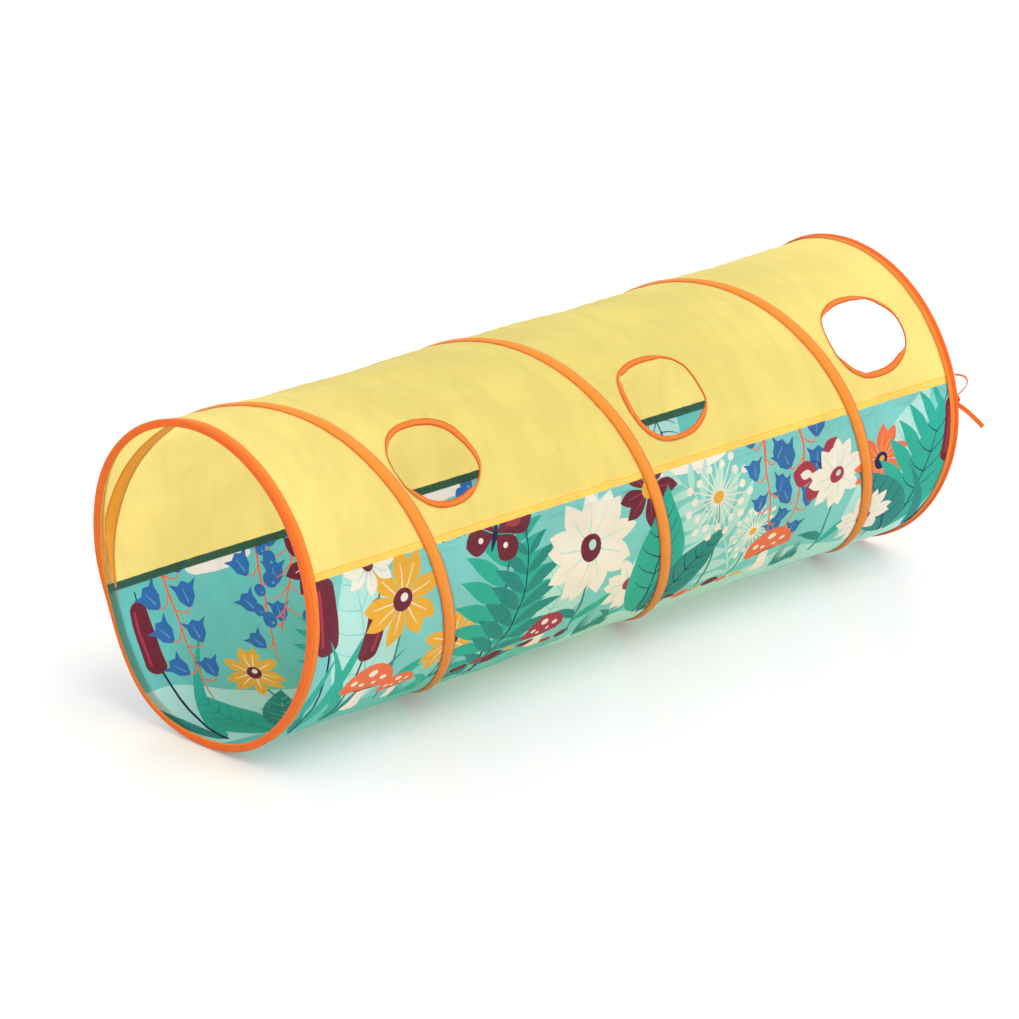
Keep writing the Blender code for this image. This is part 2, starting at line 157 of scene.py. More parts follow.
# The photograph's camera, in coil radii from the middle of the tunnel's axis
CAMERA_AZIMUTH = 0.7594
CAMERA_ELEVATION = 0.3379
CAMERA_DISTANCE = 33.8775
CAMERA_ASIDE = -0.1814
CAMERA_RISE = -0.184
CAMERA_LENS = 190.65
FITTED_RADIUS = 0.230


def srgb(red, green, blue):
    """A linear colour from its usual 0 to 255 values."""
    return tuple(((value / 255 + 0.055) / 1.055) ** 2.4 if value > 10 else value / 3295
                 for value in (red, green, blue))


YELLOW = srgb(255, 233, 140)
INKS = {
    "aqua": srgb(132, 212, 218),
    "pale aqua": srgb(186, 234, 236),
    "sea green": srgb(112, 204, 204),
    "leaf green": srgb(48, 182, 168),
    "deep green": srgb(42, 146, 146),
    "blue": srgb(54, 116, 190),
    "light blue": srgb(104, 164, 218),
    "maroon": srgb(118, 42, 62),
    "rose": srgb(176, 60, 84),
    "cream": srgb(252, 242, 240),
    "amber": srgb(246, 182, 62),
    "coral": srgb(246, 120, 78),
    "navy": srgb(30, 42, 92),
}
ORANGE = srgb(247, 142, 40)
COIL_ORANGE = srgb(246, 157, 50)
# RED_ORANGE: the tie tape's own colour, and the painted shade over the ring's wire and round the peep holes'
# folds
RED_ORANGE = srgb(248, 119, 24)
# AMBER_ORANGE: the inner coil tape's colour, and the painted glow on the end ring tapes' inner legs
AMBER_ORANGE = srgb(255, 170, 50)
HOLE_ORANGE = srgb(243, 140, 42)
# Painted shade at the tapes' edges and in the grooves of their stitching
PAINTED_SHADE_ORANGE = srgb(206, 92, 30)
STEEL = srgb(150, 152, 156)
FLOOR = srgb(232, 231, 233)
FLOOR_SEEN = (0.79, 0.79, 0.79)
FLOOR_GLARE = 0.2
SKY_STRENGTH = 1.09
SUN_STRENGTH = 1.72
SUN_WIDTH = 50 * DEGREE
TOWARDS_SUN = (0.15, -0.95, 1.5)


# Places on the tunnel

def eased(table, angle):
    """A table's values at angles round the tunnel, with its corners eased."""
    degrees, values = zip(*table)
    turn = np.degrees(angle)
    eased_over = [np.interp(turn + shift, degrees, values, period=360) for shift in CORNERS_EASED]
    return sum(eased_over) / len(eased_over)


def out_of_round(x, angle):
    """How far the tunnel stands out there: its underside hangs, and its mouths aren't quite round."""
    total = BELLY * eased(BELLY_SHAPE, angle)
    for shape, away in ((NEAR_MOUTH_SHAPE, x), (FAR_MOUTH_SHAPE, LENGTH - x)):
        total = total + eased(shape, angle) * MM * np.exp(-(np.maximum(away, 0) / MOUTH_SHAPE_REACH) ** 2)
    return total


def around(x, angle, radius):
    """Points in space at places along and round the tunnel, one row each."""
    x, angle, radius = np.broadcast_arrays(x, angle, radius)
    radius = radius + out_of_round(x, angle)
    return np.stack([NEAR_MOUTH + x, -radius * np.cos(angle), AXIS_HEIGHT + radius * np.sin(angle)], axis=-1)


def step_up(low, high, value):
    """0 below low, 1 above high and a smooth rise between."""
    share = np.clip((value - low) / (high - low), 0, 1)
    return share * share * (3 - 2 * share)


def wave(along, wavelength, longest, chance):
    """One wave with a random start, 0.6 to longest times as long as wavelength."""
    return np.sin(TURN * along / (wavelength * chance.uniform(0.6, longest)) + chance.uniform(0, TURN))


def ripple(along, wavelength, seed):
    """An uneven wave between about -1 and 1, of about that wavelength."""
    chance = np.random.default_rng(seed)
    return sum(wave(along, wavelength, 1.7, chance) for _ in range(6)) / 3


def folds(x, arc, wavelength, lean, spread, seed):
    """Soft folds over the cloth, between about -1 and 1, that lie at about one angle to its length."""
    chance = np.random.default_rng(seed)
    total = 0
    for _ in range(12):
        way = lean + TURN / 4 + chance.uniform(-spread, spread)
        total = total + wave(x * math.cos(way) + arc * math.sin(way), wavelength, 2.2, chance)
    return total / 4


def coil_place(turns):
    """How far along the tunnel the coil has come after so many turns: it leaves the near ring slowly."""
    share = np.clip(turns / LAG_TURNS, 0, 1)
    return WIRE_BESIDE_WIRE + PITCH * turns - LAG * 6.75 * share * (1 - share) ** 2


def wire_beside(mouth, angle):
    """How far in from a mouth the coil's wire is: beside the end ring's own wire, and then on its way."""
    start, way = (COIL_START, -1) if mouth == 0 else (COIL_START - COIL_TURNS * TURN, 1)
    gone = (way * (angle - start) / TURN + 0.3) % 1 - 0.3
    on_its_way = coil_place(gone) if mouth == 0 else LENGTH - coil_place(COIL_TURNS - gone)
    beside = WIRE_BESIDE_WIRE * (1 - step_up(CRIMP_OVERLAP, CRIMP_OVERLAP + WIRE_SHIFT, -gone * TURN))
    return np.where(gone < 0, beside, on_its_way)


def hole_middle(number):
    """Where a peep hole's middle is: x and arc."""
    share, rise = HOLE_PLACES[number]
    return LENGTH * share, CLOTH_RADIUS * FRONT_SEAM + rise


def tape_reach(turn, number):
    """How far the outer edge of a peep hole's tape is from the hole's middle, in the direction of turn."""
    power = HOLE_SQUARENESS[number]
    length, height = HOLE_LENGTH / 2 + HOLE_TAPE_WIDTH, HOLE_HEIGHTS[number] / 2 + HOLE_TAPE_WIDTH
    even = abs(np.cos(turn) / length) ** power + abs(np.sin(turn) / height) ** power
    uneven = sum(np.sin(n * turn + 2.1 * n + number) / n for n in (2, 3, 5))
    return even ** (-1 / power) * (1 + HOLE_UNEVEN * uneven)


def tape_width(turn, number):
    """How wide a peep hole's tape shows in the direction of turn."""
    even = eased(HOLE_TAPE_WIDTHS[number], turn) * MM
    return even + 0.1 * MM * sum(np.sin(n * turn + number) for n in (17, 29)) * step_up(3 * MM, 6 * MM, even)


def cloth_radius(x, angle):
    """How far the cloth is from the axis: drawn in between the coil's turns, gathered and puckered."""
    x, angle = np.broadcast_arrays(np.asarray(x, float), np.asarray(angle, float))
    arc = angle * CLOTH_RADIUS
    turns = (COIL_START - angle) / TURN
    places = np.stack([coil_place(turns + whole) for whole in range(-1, 5)])
    places = np.clip(places, 0, LENGTH)
    low = np.where(places <= x, places, 0).max(axis=0)
    high = np.where(places > x, places, LENGTH).min(axis=0)
    span = np.maximum(high - low, MM)
    share = np.clip((x - low) / span, 0, 1)
    slack = (4 * share * (1 - share)) ** 0.8
    wide = np.minimum(span / PITCH, 1)
    radius = CLOTH_RADIUS - DRAW_IN * wide * slack

    from_coil = np.where(places <= x, x - places, places - x).min(axis=0) - COIL_TAPE_WIDTH / 2
    from_mouth = np.minimum(x, LENGTH - x) - END_TAPE_WIDTH
    free = np.minimum(from_coil, from_mouth)
    loose = step_up(0, TAUT_BESIDE_TAPE, free)
    from_front = abs(angle - FRONT_SEAM) * CLOTH_RADIUS
    from_back = np.minimum(abs(angle - BACK_SEAM), abs(angle - BACK_SEAM + TURN)) * CLOTH_RADIUS
    apart = step_up(*TAUT_BESIDE_BACK_SEAM, from_back)
    gathers = GATHERS * step_up(0, 5 * MM, free) * np.exp(-free / GATHERS_REACH)
    gathers = gathers * ripple(arc + 0.4 * x, wavelength=19 * MM, seed=3)
    drag = folds(x, arc, wavelength=62 * MM, lean=-0.32, spread=0.35, seed=7)
    drag = DRAG_LINES * loose * slack ** 0.5 * wide * drag
    creases = CREASES * loose * folds(x, arc, wavelength=24 * MM, lean=1.25, spread=0.5, seed=11)
    radius = radius + apart * (gathers + drag + creases)

    for away, seed in ((from_front, 32), (from_back, 60)):
        pucker = SEAM_PUCKERS * loose * ripple(x + 0.15 * away, 25 * MM, seed)
        radius = radius + pucker * np.exp(-away / SEAM_PUCKERS_REACH)
        radius = radius - SEAM_GROOVE * np.exp(-away / SEAM_GROOVE_REACH)
    for n in range(len(HOLE_PLACES)):
        along, up = hole_middle(n)
        turn = np.arctan2(arc - up, x - along)
        away = np.hypot(x - along, arc - up) - tape_reach(turn, n)
        pucker = HOLE_PUCKERS * loose * ripple(turn, 0.34, 50 + n)
        radius = radius + pucker * step_up(0, 6 * MM, away) * np.exp(-away / HOLE_PUCKERS_REACH)
    return radius


# Meshes

def finish_mesh(name, mesh, finish, node, body="near_end", shortens=True):
    """Makes the piece, gives it its finish and its body, and hides the imported part that it stands for."""
    mesh.shade_smooth()
    mesh.set_sharp_from_angle(angle=50 * DEGREE)
    piece = bpy.data.objects.new(name, mesh)
    bpy.context.scene.collection.objects.link(piece)
    piece.data.materials.append(finish)
    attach(piece, body)
    if shortens:
        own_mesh(piece)
    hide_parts(node)
    return piece


def strip_mesh(name, rings, along, across, cyclic=False):
    """A closed strip from its cross-sections, rings[step, point], and its points' places on the flat tape."""
    flat = np.stack(np.broadcast_arrays(along, across), axis=-1)
    steps, points = rings.shape[:2]
    ahead = np.arange(steps if cyclic else steps - 1)
    a, b = np.meshgrid(ahead, np.arange(points), indexing="ij")
    corners = [(a, b), (a, (b + 1) % points), (a + 1, (b + 1) % points), (a + 1, b)]
    quads = np.stack([(i % steps) * points + j for i, j in corners], axis=-1).reshape(-1, 4)
    ends = [] if cyclic else [list(range(points))[::-1], [(steps - 1) * points + p for p in range(points)]]
    mesh = bpy.data.meshes.new(name)
    mesh.from_pydata(rings.reshape(-1, 3).tolist(), [], quads.tolist() + ends)
    once_round = flat[-1, 0, 0] - flat[0, 0, 0] + flat[1, 0, 0] - flat[0, 0, 0]
    whole = np.concatenate([flat, flat[:1] + [once_round, 0]])
    places = [whole.reshape(-1, 2)[i * points + j] for i, j in corners]
    uv = np.stack(places, axis=2).reshape(-1, 2)
    if not cyclic:
        uv = np.concatenate([uv, flat[0][::-1], flat[-1]])
    layer = mesh.uv_layers.new(name="Flat")
    layer.data.foreach_set("uv", uv.astype(np.float32).ravel())
    work = bmesh.new()
    work.from_mesh(mesh)
    bmesh.ops.recalc_face_normals(work, faces=work.faces)
    work.to_mesh(mesh)
    work.free()
    return mesh


def rounded(points):
    """A closed outline with each of its corners eased by one cut."""
    line = np.array(points, float)
    after = np.roll(line, -1, axis=0)
    cut = np.stack([line * 0.75 + after * 0.25, line * 0.25 + after * 0.75], axis=1)
    return cut.reshape(-1, cut.shape[-1])


def smooth_line(route, steps=8):
    """A smooth curve through every point of a route."""
    route = np.array(route, float)
    route = np.concatenate([[2 * route[0] - route[1]], route, [2 * route[-1] - route[-2]]])
    t = (np.arange(steps) / steps)[:, None]
    line = [b + (c - a) * t / 2 + (2 * a - 5 * b + 4 * c - d) * t ** 2 / 2
            + (3 * b - 3 * c + d - a) * t ** 3 / 2
            for a, b, c, d in zip(route, route[1:], route[2:], route[3:])]
    return np.concatenate([*line, route[-2:-1]])


# The print: outlines in metres, u along and v up, in the order in which they are laid down

def to_the_left(line):
    """Steps of length 1 to the left of a line, one for each of its points."""
    way = np.gradient(line, axis=0)
    return np.stack([-way[:, 1], way[:, 0]], axis=1) / np.linalg.norm(way, axis=1)[:, None]


def blade(length, width, bend=0.0, fullest=0.45, blunt=1.0):
    """A leaf or a petal with its foot at the origin, growing up, and leaning aside by bend."""
    t = np.linspace(0, 1, 13)
    half = width / 2 * np.sin(math.pi * t ** (math.log(0.5) / math.log(fullest))) ** blunt
    spine = np.stack([bend * length * t ** 2, length * t], axis=1)
    out = to_the_left(spine) * half[:, None]
    return np.concatenate([(spine + out)[:-1], (spine - out)[:0:-1]])


def stroke(route, start, end):
    """A brush stroke along a smooth route, as wide as start at its start and end at its end."""
    line = smooth_line(route, 6)
    out = to_the_left(line) * np.linspace(start, end, len(line))[:, None] / 2
    return np.concatenate([line + out, (line - out)[::-1]])


def stem(length, bend, *stops):
    """The points at those shares of the length of a stem that leans aside by bend."""
    return [(bend * length * t * t, length * t) for t in stops]


def leaf(ink, degrees, length, width, bend=0.0, fullest=0.45, blunt=1.0, foot=(0.0, 0.0)):
    """A blade turned to the left about its foot."""
    return ink, turned(blade(length, width, bend, fullest, blunt), degrees, *foot)


def oval(width, height, u=0.0, v=0.0):
    turn = np.linspace(0, TURN, 18, endpoint=False)
    return np.stack([u + width / 2 * np.cos(turn), v + height / 2 * np.sin(turn)], axis=1)


def turned(outline, degrees, u=0.0, v=0.0):
    """The outline turned about its origin, and then moved."""
    cosine, sine = math.cos(degrees * DEGREE), math.sin(degrees * DEGREE)
    return outline @ np.array([[cosine, sine], [-sine, cosine]]) + (u, v)


def flower(size, petals=9, ink="amber", heart="maroon", line="cream"):
    """An open flower seen from the front."""
    petal = blade(size / 2, size * 0.21, 0.1, 0.6)
    rib = stroke([(0, size * 0.12), (size * 0.012, size * 0.25), (size * 0.02, size * 0.36)], 0.0022, 0.001)
    shapes = []
    for n in range(petals):
        way = 360 * n / petals + 7 * (n % 3)
        shapes += [(ink, turned(petal, way)), (line, turned(rib, way))]
    return shapes + [(heart, oval(size * 0.24, size * 0.24)),
                     (line, oval(size * 0.09, size * 0.09, size * 0.02, size * 0.02))]


def stalk(height, lean, start, end):
    return "deep green", stroke([(0, 0), (lean * height, height / 2), (0, height)], start, end)


def tall_flower(height, size, **look):
    """A flower on a stalk with two leaves."""
    return [stalk(height, -0.02, 0.005, 0.003),
            leaf("leaf green", -28, height * 0.45, height * 0.13, 0.5, foot=(0, height * 0.12)),
            leaf("deep green", 32, height * 0.38, height * 0.11, -0.5, foot=(0, height * 0.2)),
            *((ink, outline + (0, height)) for ink, outline in flower(size, **look))]


def bulrush(height, thick=0.034):
    """A reed with a long brown head and blade-like leaves."""
    low, high = height * 0.62, height * 0.9
    middle = (low + high) / 2
    return [leaf("leaf green", -12, height * 0.8, thick * 0.6, 0.22, 0.3),
            leaf("deep green", 11, height * 0.66, thick * 0.55, -0.3, 0.3),
            ("navy", stroke([(0, 0), (0.006, height * 0.5), (0, height)], 0.0045, 0.0025)),
            ("maroon", stroke([(0.001, low), (0, middle), (0, high)], thick, thick * 0.9)),
            ("maroon", oval(thick, thick * 0.8, 0.001, low)),
            ("maroon", oval(thick * 0.9, thick * 0.8, 0, high)),
            ("rose", stroke([(-0.2 * thick, low), (-0.24 * thick, middle), (-0.22 * thick, high)],
                            thick * 0.13, thick * 0.13))]


def pebbles(width, inks=("maroon", "rose", "maroon", "amber")):
    """A row of rounded stones."""
    shapes = []
    for n in range(7):
        long = width * (0.16 + 0.06 * math.sin(3.7 * n))
        u = width * (n / 6 - 0.5)
        shapes.append((inks[n % len(inks)], oval(long, long * 0.55, u, 0.004 * math.sin(2.1 * n))))
    return shapes


def fern(length, bend=0.25, pairs=9, ink="leaf green", line="navy"):
    """A frond: leaflets along both sides of a bending rib."""
    shapes = []
    for n in range(pairs):
        t = 0.12 + 0.86 * n / pairs
        size = length * 0.36 * math.sin(math.pi * (0.16 + 0.8 * t)) ** 0.8
        lean = -math.degrees(math.atan(2 * bend * t))
        for side in (-1, 1):
            shapes.append(leaf(ink, lean + side * (62 - 26 * t), size, size * 0.27, 0.18 * -side,
                               foot=stem(length, bend, t)[0]))
    tip = leaf(ink, -math.degrees(math.atan(2 * bend)), length * 0.2, length * 0.05,
               foot=(bend * length * 0.94, length * 0.95))
    return shapes + [tip, (line, stroke(stem(length, bend, 0, 0.25, 0.5, 0.75, 1.02), 0.0045, 0.0015))]


def broad_leaf(length, width, bend=0.15, ink="leaf green", line="navy"):
    """One big leaf with a rib and side veins."""
    rib = stroke([(0, 0), (bend * length * 0.2, length * 0.45), (bend * length * 0.62, length * 0.8)],
                 0.0035, 0.0035 / 3)
    shapes = [(ink, blade(length, width, bend, 0.42)), (line, rib)]
    for n in range(1, 6):
        t = 0.14 + 0.13 * n
        reach = width * 0.36 * math.sin(math.pi * t ** 0.8)
        u, v = stem(length, bend, t)[0]
        for side in (-1, 1):
            shapes.append((line, stroke([(u, v), (u + side * reach * 0.6, v + reach * 0.42),
                                         (u + side * reach, v + reach * 0.9)], 0.002, 0.0008)))
    return shapes


def berry_spray(length, bend=0.2, berry=0.024):
    """A hanging twig with round berries on short stalks."""
    shapes = [("coral", stroke(stem(length, bend, 0, 0.3, 0.6, 1), 0.0055, 0.002))]
    for n in range(5):
        t = 0.18 + 0.78 * n / 5
        foot = np.array(stem(length, bend, t)[0])
        reach = length * (0.26 - 0.12 * t)
        for side in (-1, 1):
            tip = foot + (side * reach, reach * 0.55)
            middle = foot + (side * reach * 0.5, reach * 0.4)
            shapes.append(("coral", stroke([foot, middle, tip], 0.0026, 0.0014)))
            for k, (u, v, share) in enumerate(((0, 0, 1.0), (0.6 * side, -0.65, 0.78))):
                if (n + k) % 4 != 3:
                    size = berry * share
                    at, up = tip + (berry * u, berry * v)
                    gleam = oval(size * 0.24, size * 0.18, at - size * 0.16, up + size * 0.2)
                    shapes += [("blue", oval(size, size * 1.08, at, up)), ("light blue", gleam)]
    return shapes


BELL = ((-0.1, 0), (-0.42, -0.35), (-0.48, -0.75), (-0.72, -1.1), (-0.3, -0.94), (0, -1.12), (0.3, -0.94),
        (0.72, -1.1), (0.48, -0.75), (0.42, -0.35), (0.1, 0))


def bellflowers(length, bend=0.25, bells=6):
    """A bending stalk hung with bell-shaped flowers."""
    shapes = [("coral", stroke(stem(length, bend, 0, 0.35, 0.7, 1), 0.005, 0.002))]
    for n in range(bells):
        t = 0.25 + 0.72 * n / bells
        side = 1 if n % 2 else -1
        foot = np.array(stem(length, bend, t)[0])
        size = length * (0.17 - 0.06 * t)
        hook = foot + (side * size * 0.75, size * 0.25)
        gleam = stroke([(0.0, -0.2 * size), (0.03 * size, -0.55 * size), (0.08 * size, -0.85 * size)],
                       0.0028, 0.001)
        middle = foot + (side * size * 0.45, size * 0.35)
        shapes += [("coral", stroke([foot, middle, hook], 0.0026, 0.0018)),
                   ("blue", turned(np.array(BELL) * size, side * 16, *hook)),
                   ("light blue", turned(gleam, side * 16, *hook))]
    return shapes


TOADSTOOL_FOOT = ((-0.09, 0.5), (-0.12, 0.2), (-0.17, 0.02), (-0.04, -0.02), (0.1, -0.02), (0.17, 0.03),
                  (0.12, 0.22), (0.09, 0.5))
TOADSTOOL_BRIM = ((-0.36, 0.44), (-0.12, 0.47), (0.12, 0.47), (0.36, 0.44))
TOADSTOOL_SPOTS = ((-0.27, 0.64, 0.13), (0.02, 0.78, 0.17), (0.27, 0.66, 0.12), (-0.1, 0.58, 0.09),
                   (0.14, 0.57, 0.08))


def toadstool(size, cap="coral"):
    """A round-capped toadstool with spots."""
    turn = np.linspace(0, math.pi, 15)
    dome = np.stack([np.cos(turn) * size * 0.5, size * 0.5 + np.sin(turn) * size * 0.46], axis=1)
    return [("cream", np.array(TOADSTOOL_FOOT) * size),
            ("maroon", oval(size * 0.8, size * 0.1, 0, size * 0.49)),
            (cap, np.concatenate([dome, np.array(TOADSTOOL_BRIM) * size])),
            *(("cream", oval(size * wide, size * wide * 0.75, size * u, size * v))
              for u, v, wide in TOADSTOOL_SPOTS)]


def butterfly(size, wing, patch):
    shapes = []
    for side in (-1, 1):
        feeler = [(0, size * 0.2), (side * size * 0.05, size * 0.3), (side * size * 0.13, size * 0.36)]
        shapes += [leaf(wing, side * 52, size * 0.62, size * 0.42, 0, 0.66, 0.8),
                   leaf(wing, side * 118, size * 0.44, size * 0.32, 0, 0.62, 0.8),
                   leaf(patch, side * 54, size * 0.3, size * 0.16, 0, 0.6,
                        foot=(side * -size * 0.13, size * 0.1)),
                   ("cream", turned(oval(size * 0.07, size * 0.07), 0, side * -size * 0.19, -size * 0.1)),
                   ("navy", stroke(feeler, 0.0018, 0.0012))]
    return shapes + [("navy", blade(size * 0.46, size * 0.07) - (0, size * 0.22))]


def dragonfly(size):
    shapes = []
    for side in (-1, 1):
        shapes += [leaf("pale aqua", side * 74, size * 0.5, size * 0.12, 0.1 * side, 0.65),
                   leaf("cream", side * 104, size * 0.44, size * 0.1, -0.1 * side, 0.65)]
    tail = [(0, size * 0.1), (0, -size * 0.3), (size * 0.04, -size * 0.6)]
    return shapes + [("navy", stroke(tail, size * 0.05, size * 0.02)),
                     ("navy", oval(size * 0.1, size * 0.1, 0, size * 0.12))]


def seed_head(height, size, rays=22):
    """A stalk with a round head of thin rays and seeds."""
    shapes = [stalk(height, 0.02, 0.0045, 0.003)]
    for n in range(rays):
        reach = size / 2 * (0.78 if n % 2 else 1)
        way = TURN * n / rays
        tip = np.array((math.sin(way), math.cos(way))) * reach
        ray = [(0, height), tip * 0.5 + (0, height), tip + (0, height)]
        shapes += [("cream", stroke(ray, 0.0028, 0.0016)),
                   ("cream", oval(size * 0.1, size * 0.1, tip[0], tip[1] + height))]
    return shapes + [("amber", oval(size * 0.16, size * 0.16, 0, height))]


def grass(width, height, blades=9, ink="leaf green"):
    shapes = []
    for n in range(blades):
        share = n / (blades - 1) - 0.5
        tall = height * (0.7 + 0.3 * math.cos(5.1 * n))
        shapes.append(leaf(ink, -share * 34, tall, width * 0.09, -share * 0.7, 0.3,
                           foot=(share * width * 0.6, 0)))
    return shapes


def cloud(width, ink="cream"):
    parts = ((-0.3, 0.02, 0.4, 0.26), (-0.05, 0.1, 0.46, 0.4), (0.24, 0.04, 0.42, 0.3), (0, -0.03, 0.9, 0.2))
    return [(ink, oval(width * wide, width * high, width * u, width * v)) for u, v, wide, high in parts]


def bank(points, ink, foot=None):
    """Ground or water with a smooth upper edge, down to the tunnel's underside or to a foot of its own."""
    top = smooth_line(points)
    low = [(top[-1, 0], -0.002), (top[0, 0], -0.002)] if foot is None else smooth_line(foot[::-1])
    return [(ink, np.concatenate([top, low]))]


CREAM_FLOWER = {"ink": "cream", "line": "pale aqua"}
CORAL_FLOWER = {"ink": "coral", "heart": "navy", "line": "amber"}
# What grows on the front of the tunnel and on its back: the shapes, and then as laid_down takes them
FRONT_PRINT = [
    (bank([(-0.02, 0.15), (0.10, 0.13), (0.24, 0.115), (0.38, 0.14), (0.52, 0.11), (0.66, 0.03)],
          "sea green",
          [(-0.02, -0.05), (0.12, -0.02), (0.27, -0.045), (0.42, -0.015), (0.56, -0.03), (0.66, -0.02)]), 0),
    (bank([(0.40, -0.002), (0.48, 0.055), (0.62, 0.12), (0.80, 0.115), (0.98, 0.145), (1.14, 0.11),
           (1.32, 0.15)], "pale aqua"), 0),
    (cloud(0.15, "pale aqua"), 0.255, 0.375),
    (cloud(0.16), 0.735, 0.365),
    (cloud(0.12, "pale aqua"), 1.045, 0.372, 0, -1),
    (broad_leaf(0.28, 0.12, 0.2, "pale aqua", "aqua"), 0.145, 0.12, 24),
    (broad_leaf(0.26, 0.11, 0.15, "pale aqua", "aqua"), 0.455, 0.12, -12),
    (fern(0.27, 0.3, 8, "pale aqua", "pale aqua"), 0.86, 0.11, 18, -1),
    (broad_leaf(0.27, 0.11, 0.2, "pale aqua", "aqua"), 1.09, 0.13, -20),
    (bulrush(0.30, 0.040), 0.042, 0.075, 3),
    (bulrush(0.24, 0.036), 0.093, 0.08, -8, -1),
    (bulrush(0.21, 0.034), 0.012, 0.08, 9),
    (tall_flower(0.19, 0.145), 0.178, 0.105, 3),
    (tall_flower(0.10, 0.115), 0.262, 0.10, -8, -1),
    (flower(0.095, 8, **CREAM_FLOWER), 0.112, 0.36),
    (toadstool(0.10), 0.128, 0.105, -6),
    (toadstool(0.065), 0.205, 0.10, 8),
    (grass(0.07, 0.075, ink="deep green"), 0.325, 0.09),
    (fern(0.29, 0.30), 0.372, 0.085, 13),
    (fern(0.25, 0.26, 8, "deep green"), 0.362, 0.08, -24, -1),
    (pebbles(0.2), 0.43, 0.118),
    (butterfly(0.125, "maroon", "rose"), 0.345, 0.345, -20),
    (tall_flower(0.165, 0.175, petals=13, **CREAM_FLOWER), 0.54, 0.115, 4),
    (tall_flower(0.085, 0.105, petals=11, heart="rose", **CREAM_FLOWER), 0.612, 0.11, -8),
    (flower(0.115, 8, "maroon", "amber", "rose"), 0.642, 0.34),
    (toadstool(0.08, "rose"), 0.478, 0.105, 5, -1),
    (broad_leaf(0.23, 0.105), 0.682, 0.105, 9),
    (broad_leaf(0.18, 0.085, 0.2, "deep green"), 0.69, 0.10, -28),
    (seed_head(0.185, 0.125), 0.795, 0.11, 4),
    (seed_head(0.10, 0.09), 0.855, 0.115, -9),
    (bellflowers(0.25, 0.3, 7), 0.952, 0.405, 190),
    (bellflowers(0.21), 0.885, 0.408, 172, -1),
    (toadstool(0.095), 0.925, 0.115, 4),
    (butterfly(0.10, "rose", "cream"), 1.0, 0.275, 22),
    (tall_flower(0.16, 0.115, petals=11, heart="rose", **CREAM_FLOWER), 1.045, 0.11, 5),
    (tall_flower(0.15, 0.115, **CORAL_FLOWER), 1.135, 0.12, 4),
    (fern(0.27, 0.28), 1.165, 0.09, -6),
    (broad_leaf(0.24, 0.10, 0.2), 1.215, 0.10, 2),
    (broad_leaf(0.2, 0.085, 0.25, "deep green"), 1.205, 0.10, 24, -1),
    (flower(0.11, 11, heart="rose", **CREAM_FLOWER), 1.125, 0.165),
    (bulrush(0.26, 0.038), 1.262, 0.09, -3),
    (pebbles(0.17, ("amber", "maroon", "coral")), 0.80, 0.118),
    (grass(0.09, 0.07, ink="deep green"), 0.60, 0.085),
    (grass(0.08, 0.06, ink="deep green"), 0.99, 0.10),
    (grass(0.07, 0.06), 0.24, 0.085),
    (pebbles(0.16, ("cream", "pale aqua")), 0.18, 0.03),
    ([("aqua", stroke([(0.30, 0.03), (0.52, 0.055), (0.78, 0.03), (1.0, 0.05), (1.30, 0.03)], 0.018,
                      0.03))], 0),
]
SELVEDGE = [("sea green", np.array([(-0.03, HALF_WIDTH / 2), (1.35, HALF_WIDTH / 2), (1.35, 0.4),
                                    (-0.03, 0.4)]))]
BACK_PRINT = [
    (bank([(-0.02, 0.42), (0.4, 0.42), (0.8, 0.42), (1.32, 0.42)], "sea green"), 0),
    (bank([(-0.02, 0.19), (0.06, 0.185), (0.15, 0.14), (0.26, 0.10), (0.42, 0.07), (0.62, 0.12), (0.9, 0.10),
           (1.32, 0.14)], "pale aqua"), 0),
    (cloud(0.13), 0.215, 0.345),
    (cloud(0.14), 0.62, 0.345, 0, -1),
    (bulrush(0.29, 0.036), 0.033, 0.045, -3),
    (broad_leaf(0.15, 0.075, 0.1, line="deep green"), 0.10, 0.02, 16),
    (broad_leaf(0.13, 0.065, 0.15, "deep green", "sea green"), 0.125, 0.01, -24),
    (bellflowers(0.25, 0.3, 7), 0.095, 0.405, 196),
    (bellflowers(0.23, 0.3, 6), 0.285, 0.405, 184),
    (berry_spray(0.21, 0.3), 0.375, 0.405, 168),
    (tall_flower(0.13, 0.095), 0.175, 0.035, -3),
    (toadstool(0.085, "maroon"), 0.235, 0.02, 6),
    (fern(0.20, 0.25, 7, line="deep green"), 0.315, 0.02, 6),
    (toadstool(0.08), 0.375, 0.03, -5),
    (bulrush(0.28), 0.44, 0.05),
    (flower(0.13, 8, "maroon", "amber", "cream"), 0.385, 0.30),
    (tall_flower(0.21, 0.14), 0.54, 0.07, 4),
    (fern(0.27), 0.66, 0.06, -8),
    (berry_spray(0.2), 0.75, 0.40, 175),
    (dragonfly(0.12), 0.835, 0.31, 30),
    (seed_head(0.20, 0.12), 0.86, 0.06),
    (bellflowers(0.22, 0.3, 7), 0.97, 0.40, 186),
    (broad_leaf(0.22, 0.10), 1.04, 0.06, 6),
    (broad_leaf(0.15, 0.085, 0.2, "pale aqua"), 1.075, 0.405, 205),
    (tall_flower(0.17, 0.12, **CORAL_FLOWER), 1.13, 0.07, -5),
    (bulrush(0.27), 1.21, 0.07, 4),
    (pebbles(0.2), 0.56, 0.06),
    (pebbles(0.18, ("amber", "maroon", "coral")), 0.95, 0.05),
    (SELVEDGE, 0),
]


def laid_down(shapes, x=0, height=0, degrees=0, mirror=1):
    """Shapes on the printed cloth: x, height along the cloth from its middle, degrees to the left, and 1 or
    -1 for mirrored."""
    return [(ink, turned(outline * (mirror, 1), degrees, x, height)) for ink, outline in shapes]


def laid_out(placed, side):
    """A print on the flat cut of the lower cloth: x, and the distance from the back seam."""
    for place in placed:
        for ink, spot in laid_down(*place):
            yield INKS[ink], np.stack([spot[:, 0], HALF_WIDTH / 2 + side * spot[:, 1]], axis=1)


# The cloth's two halves

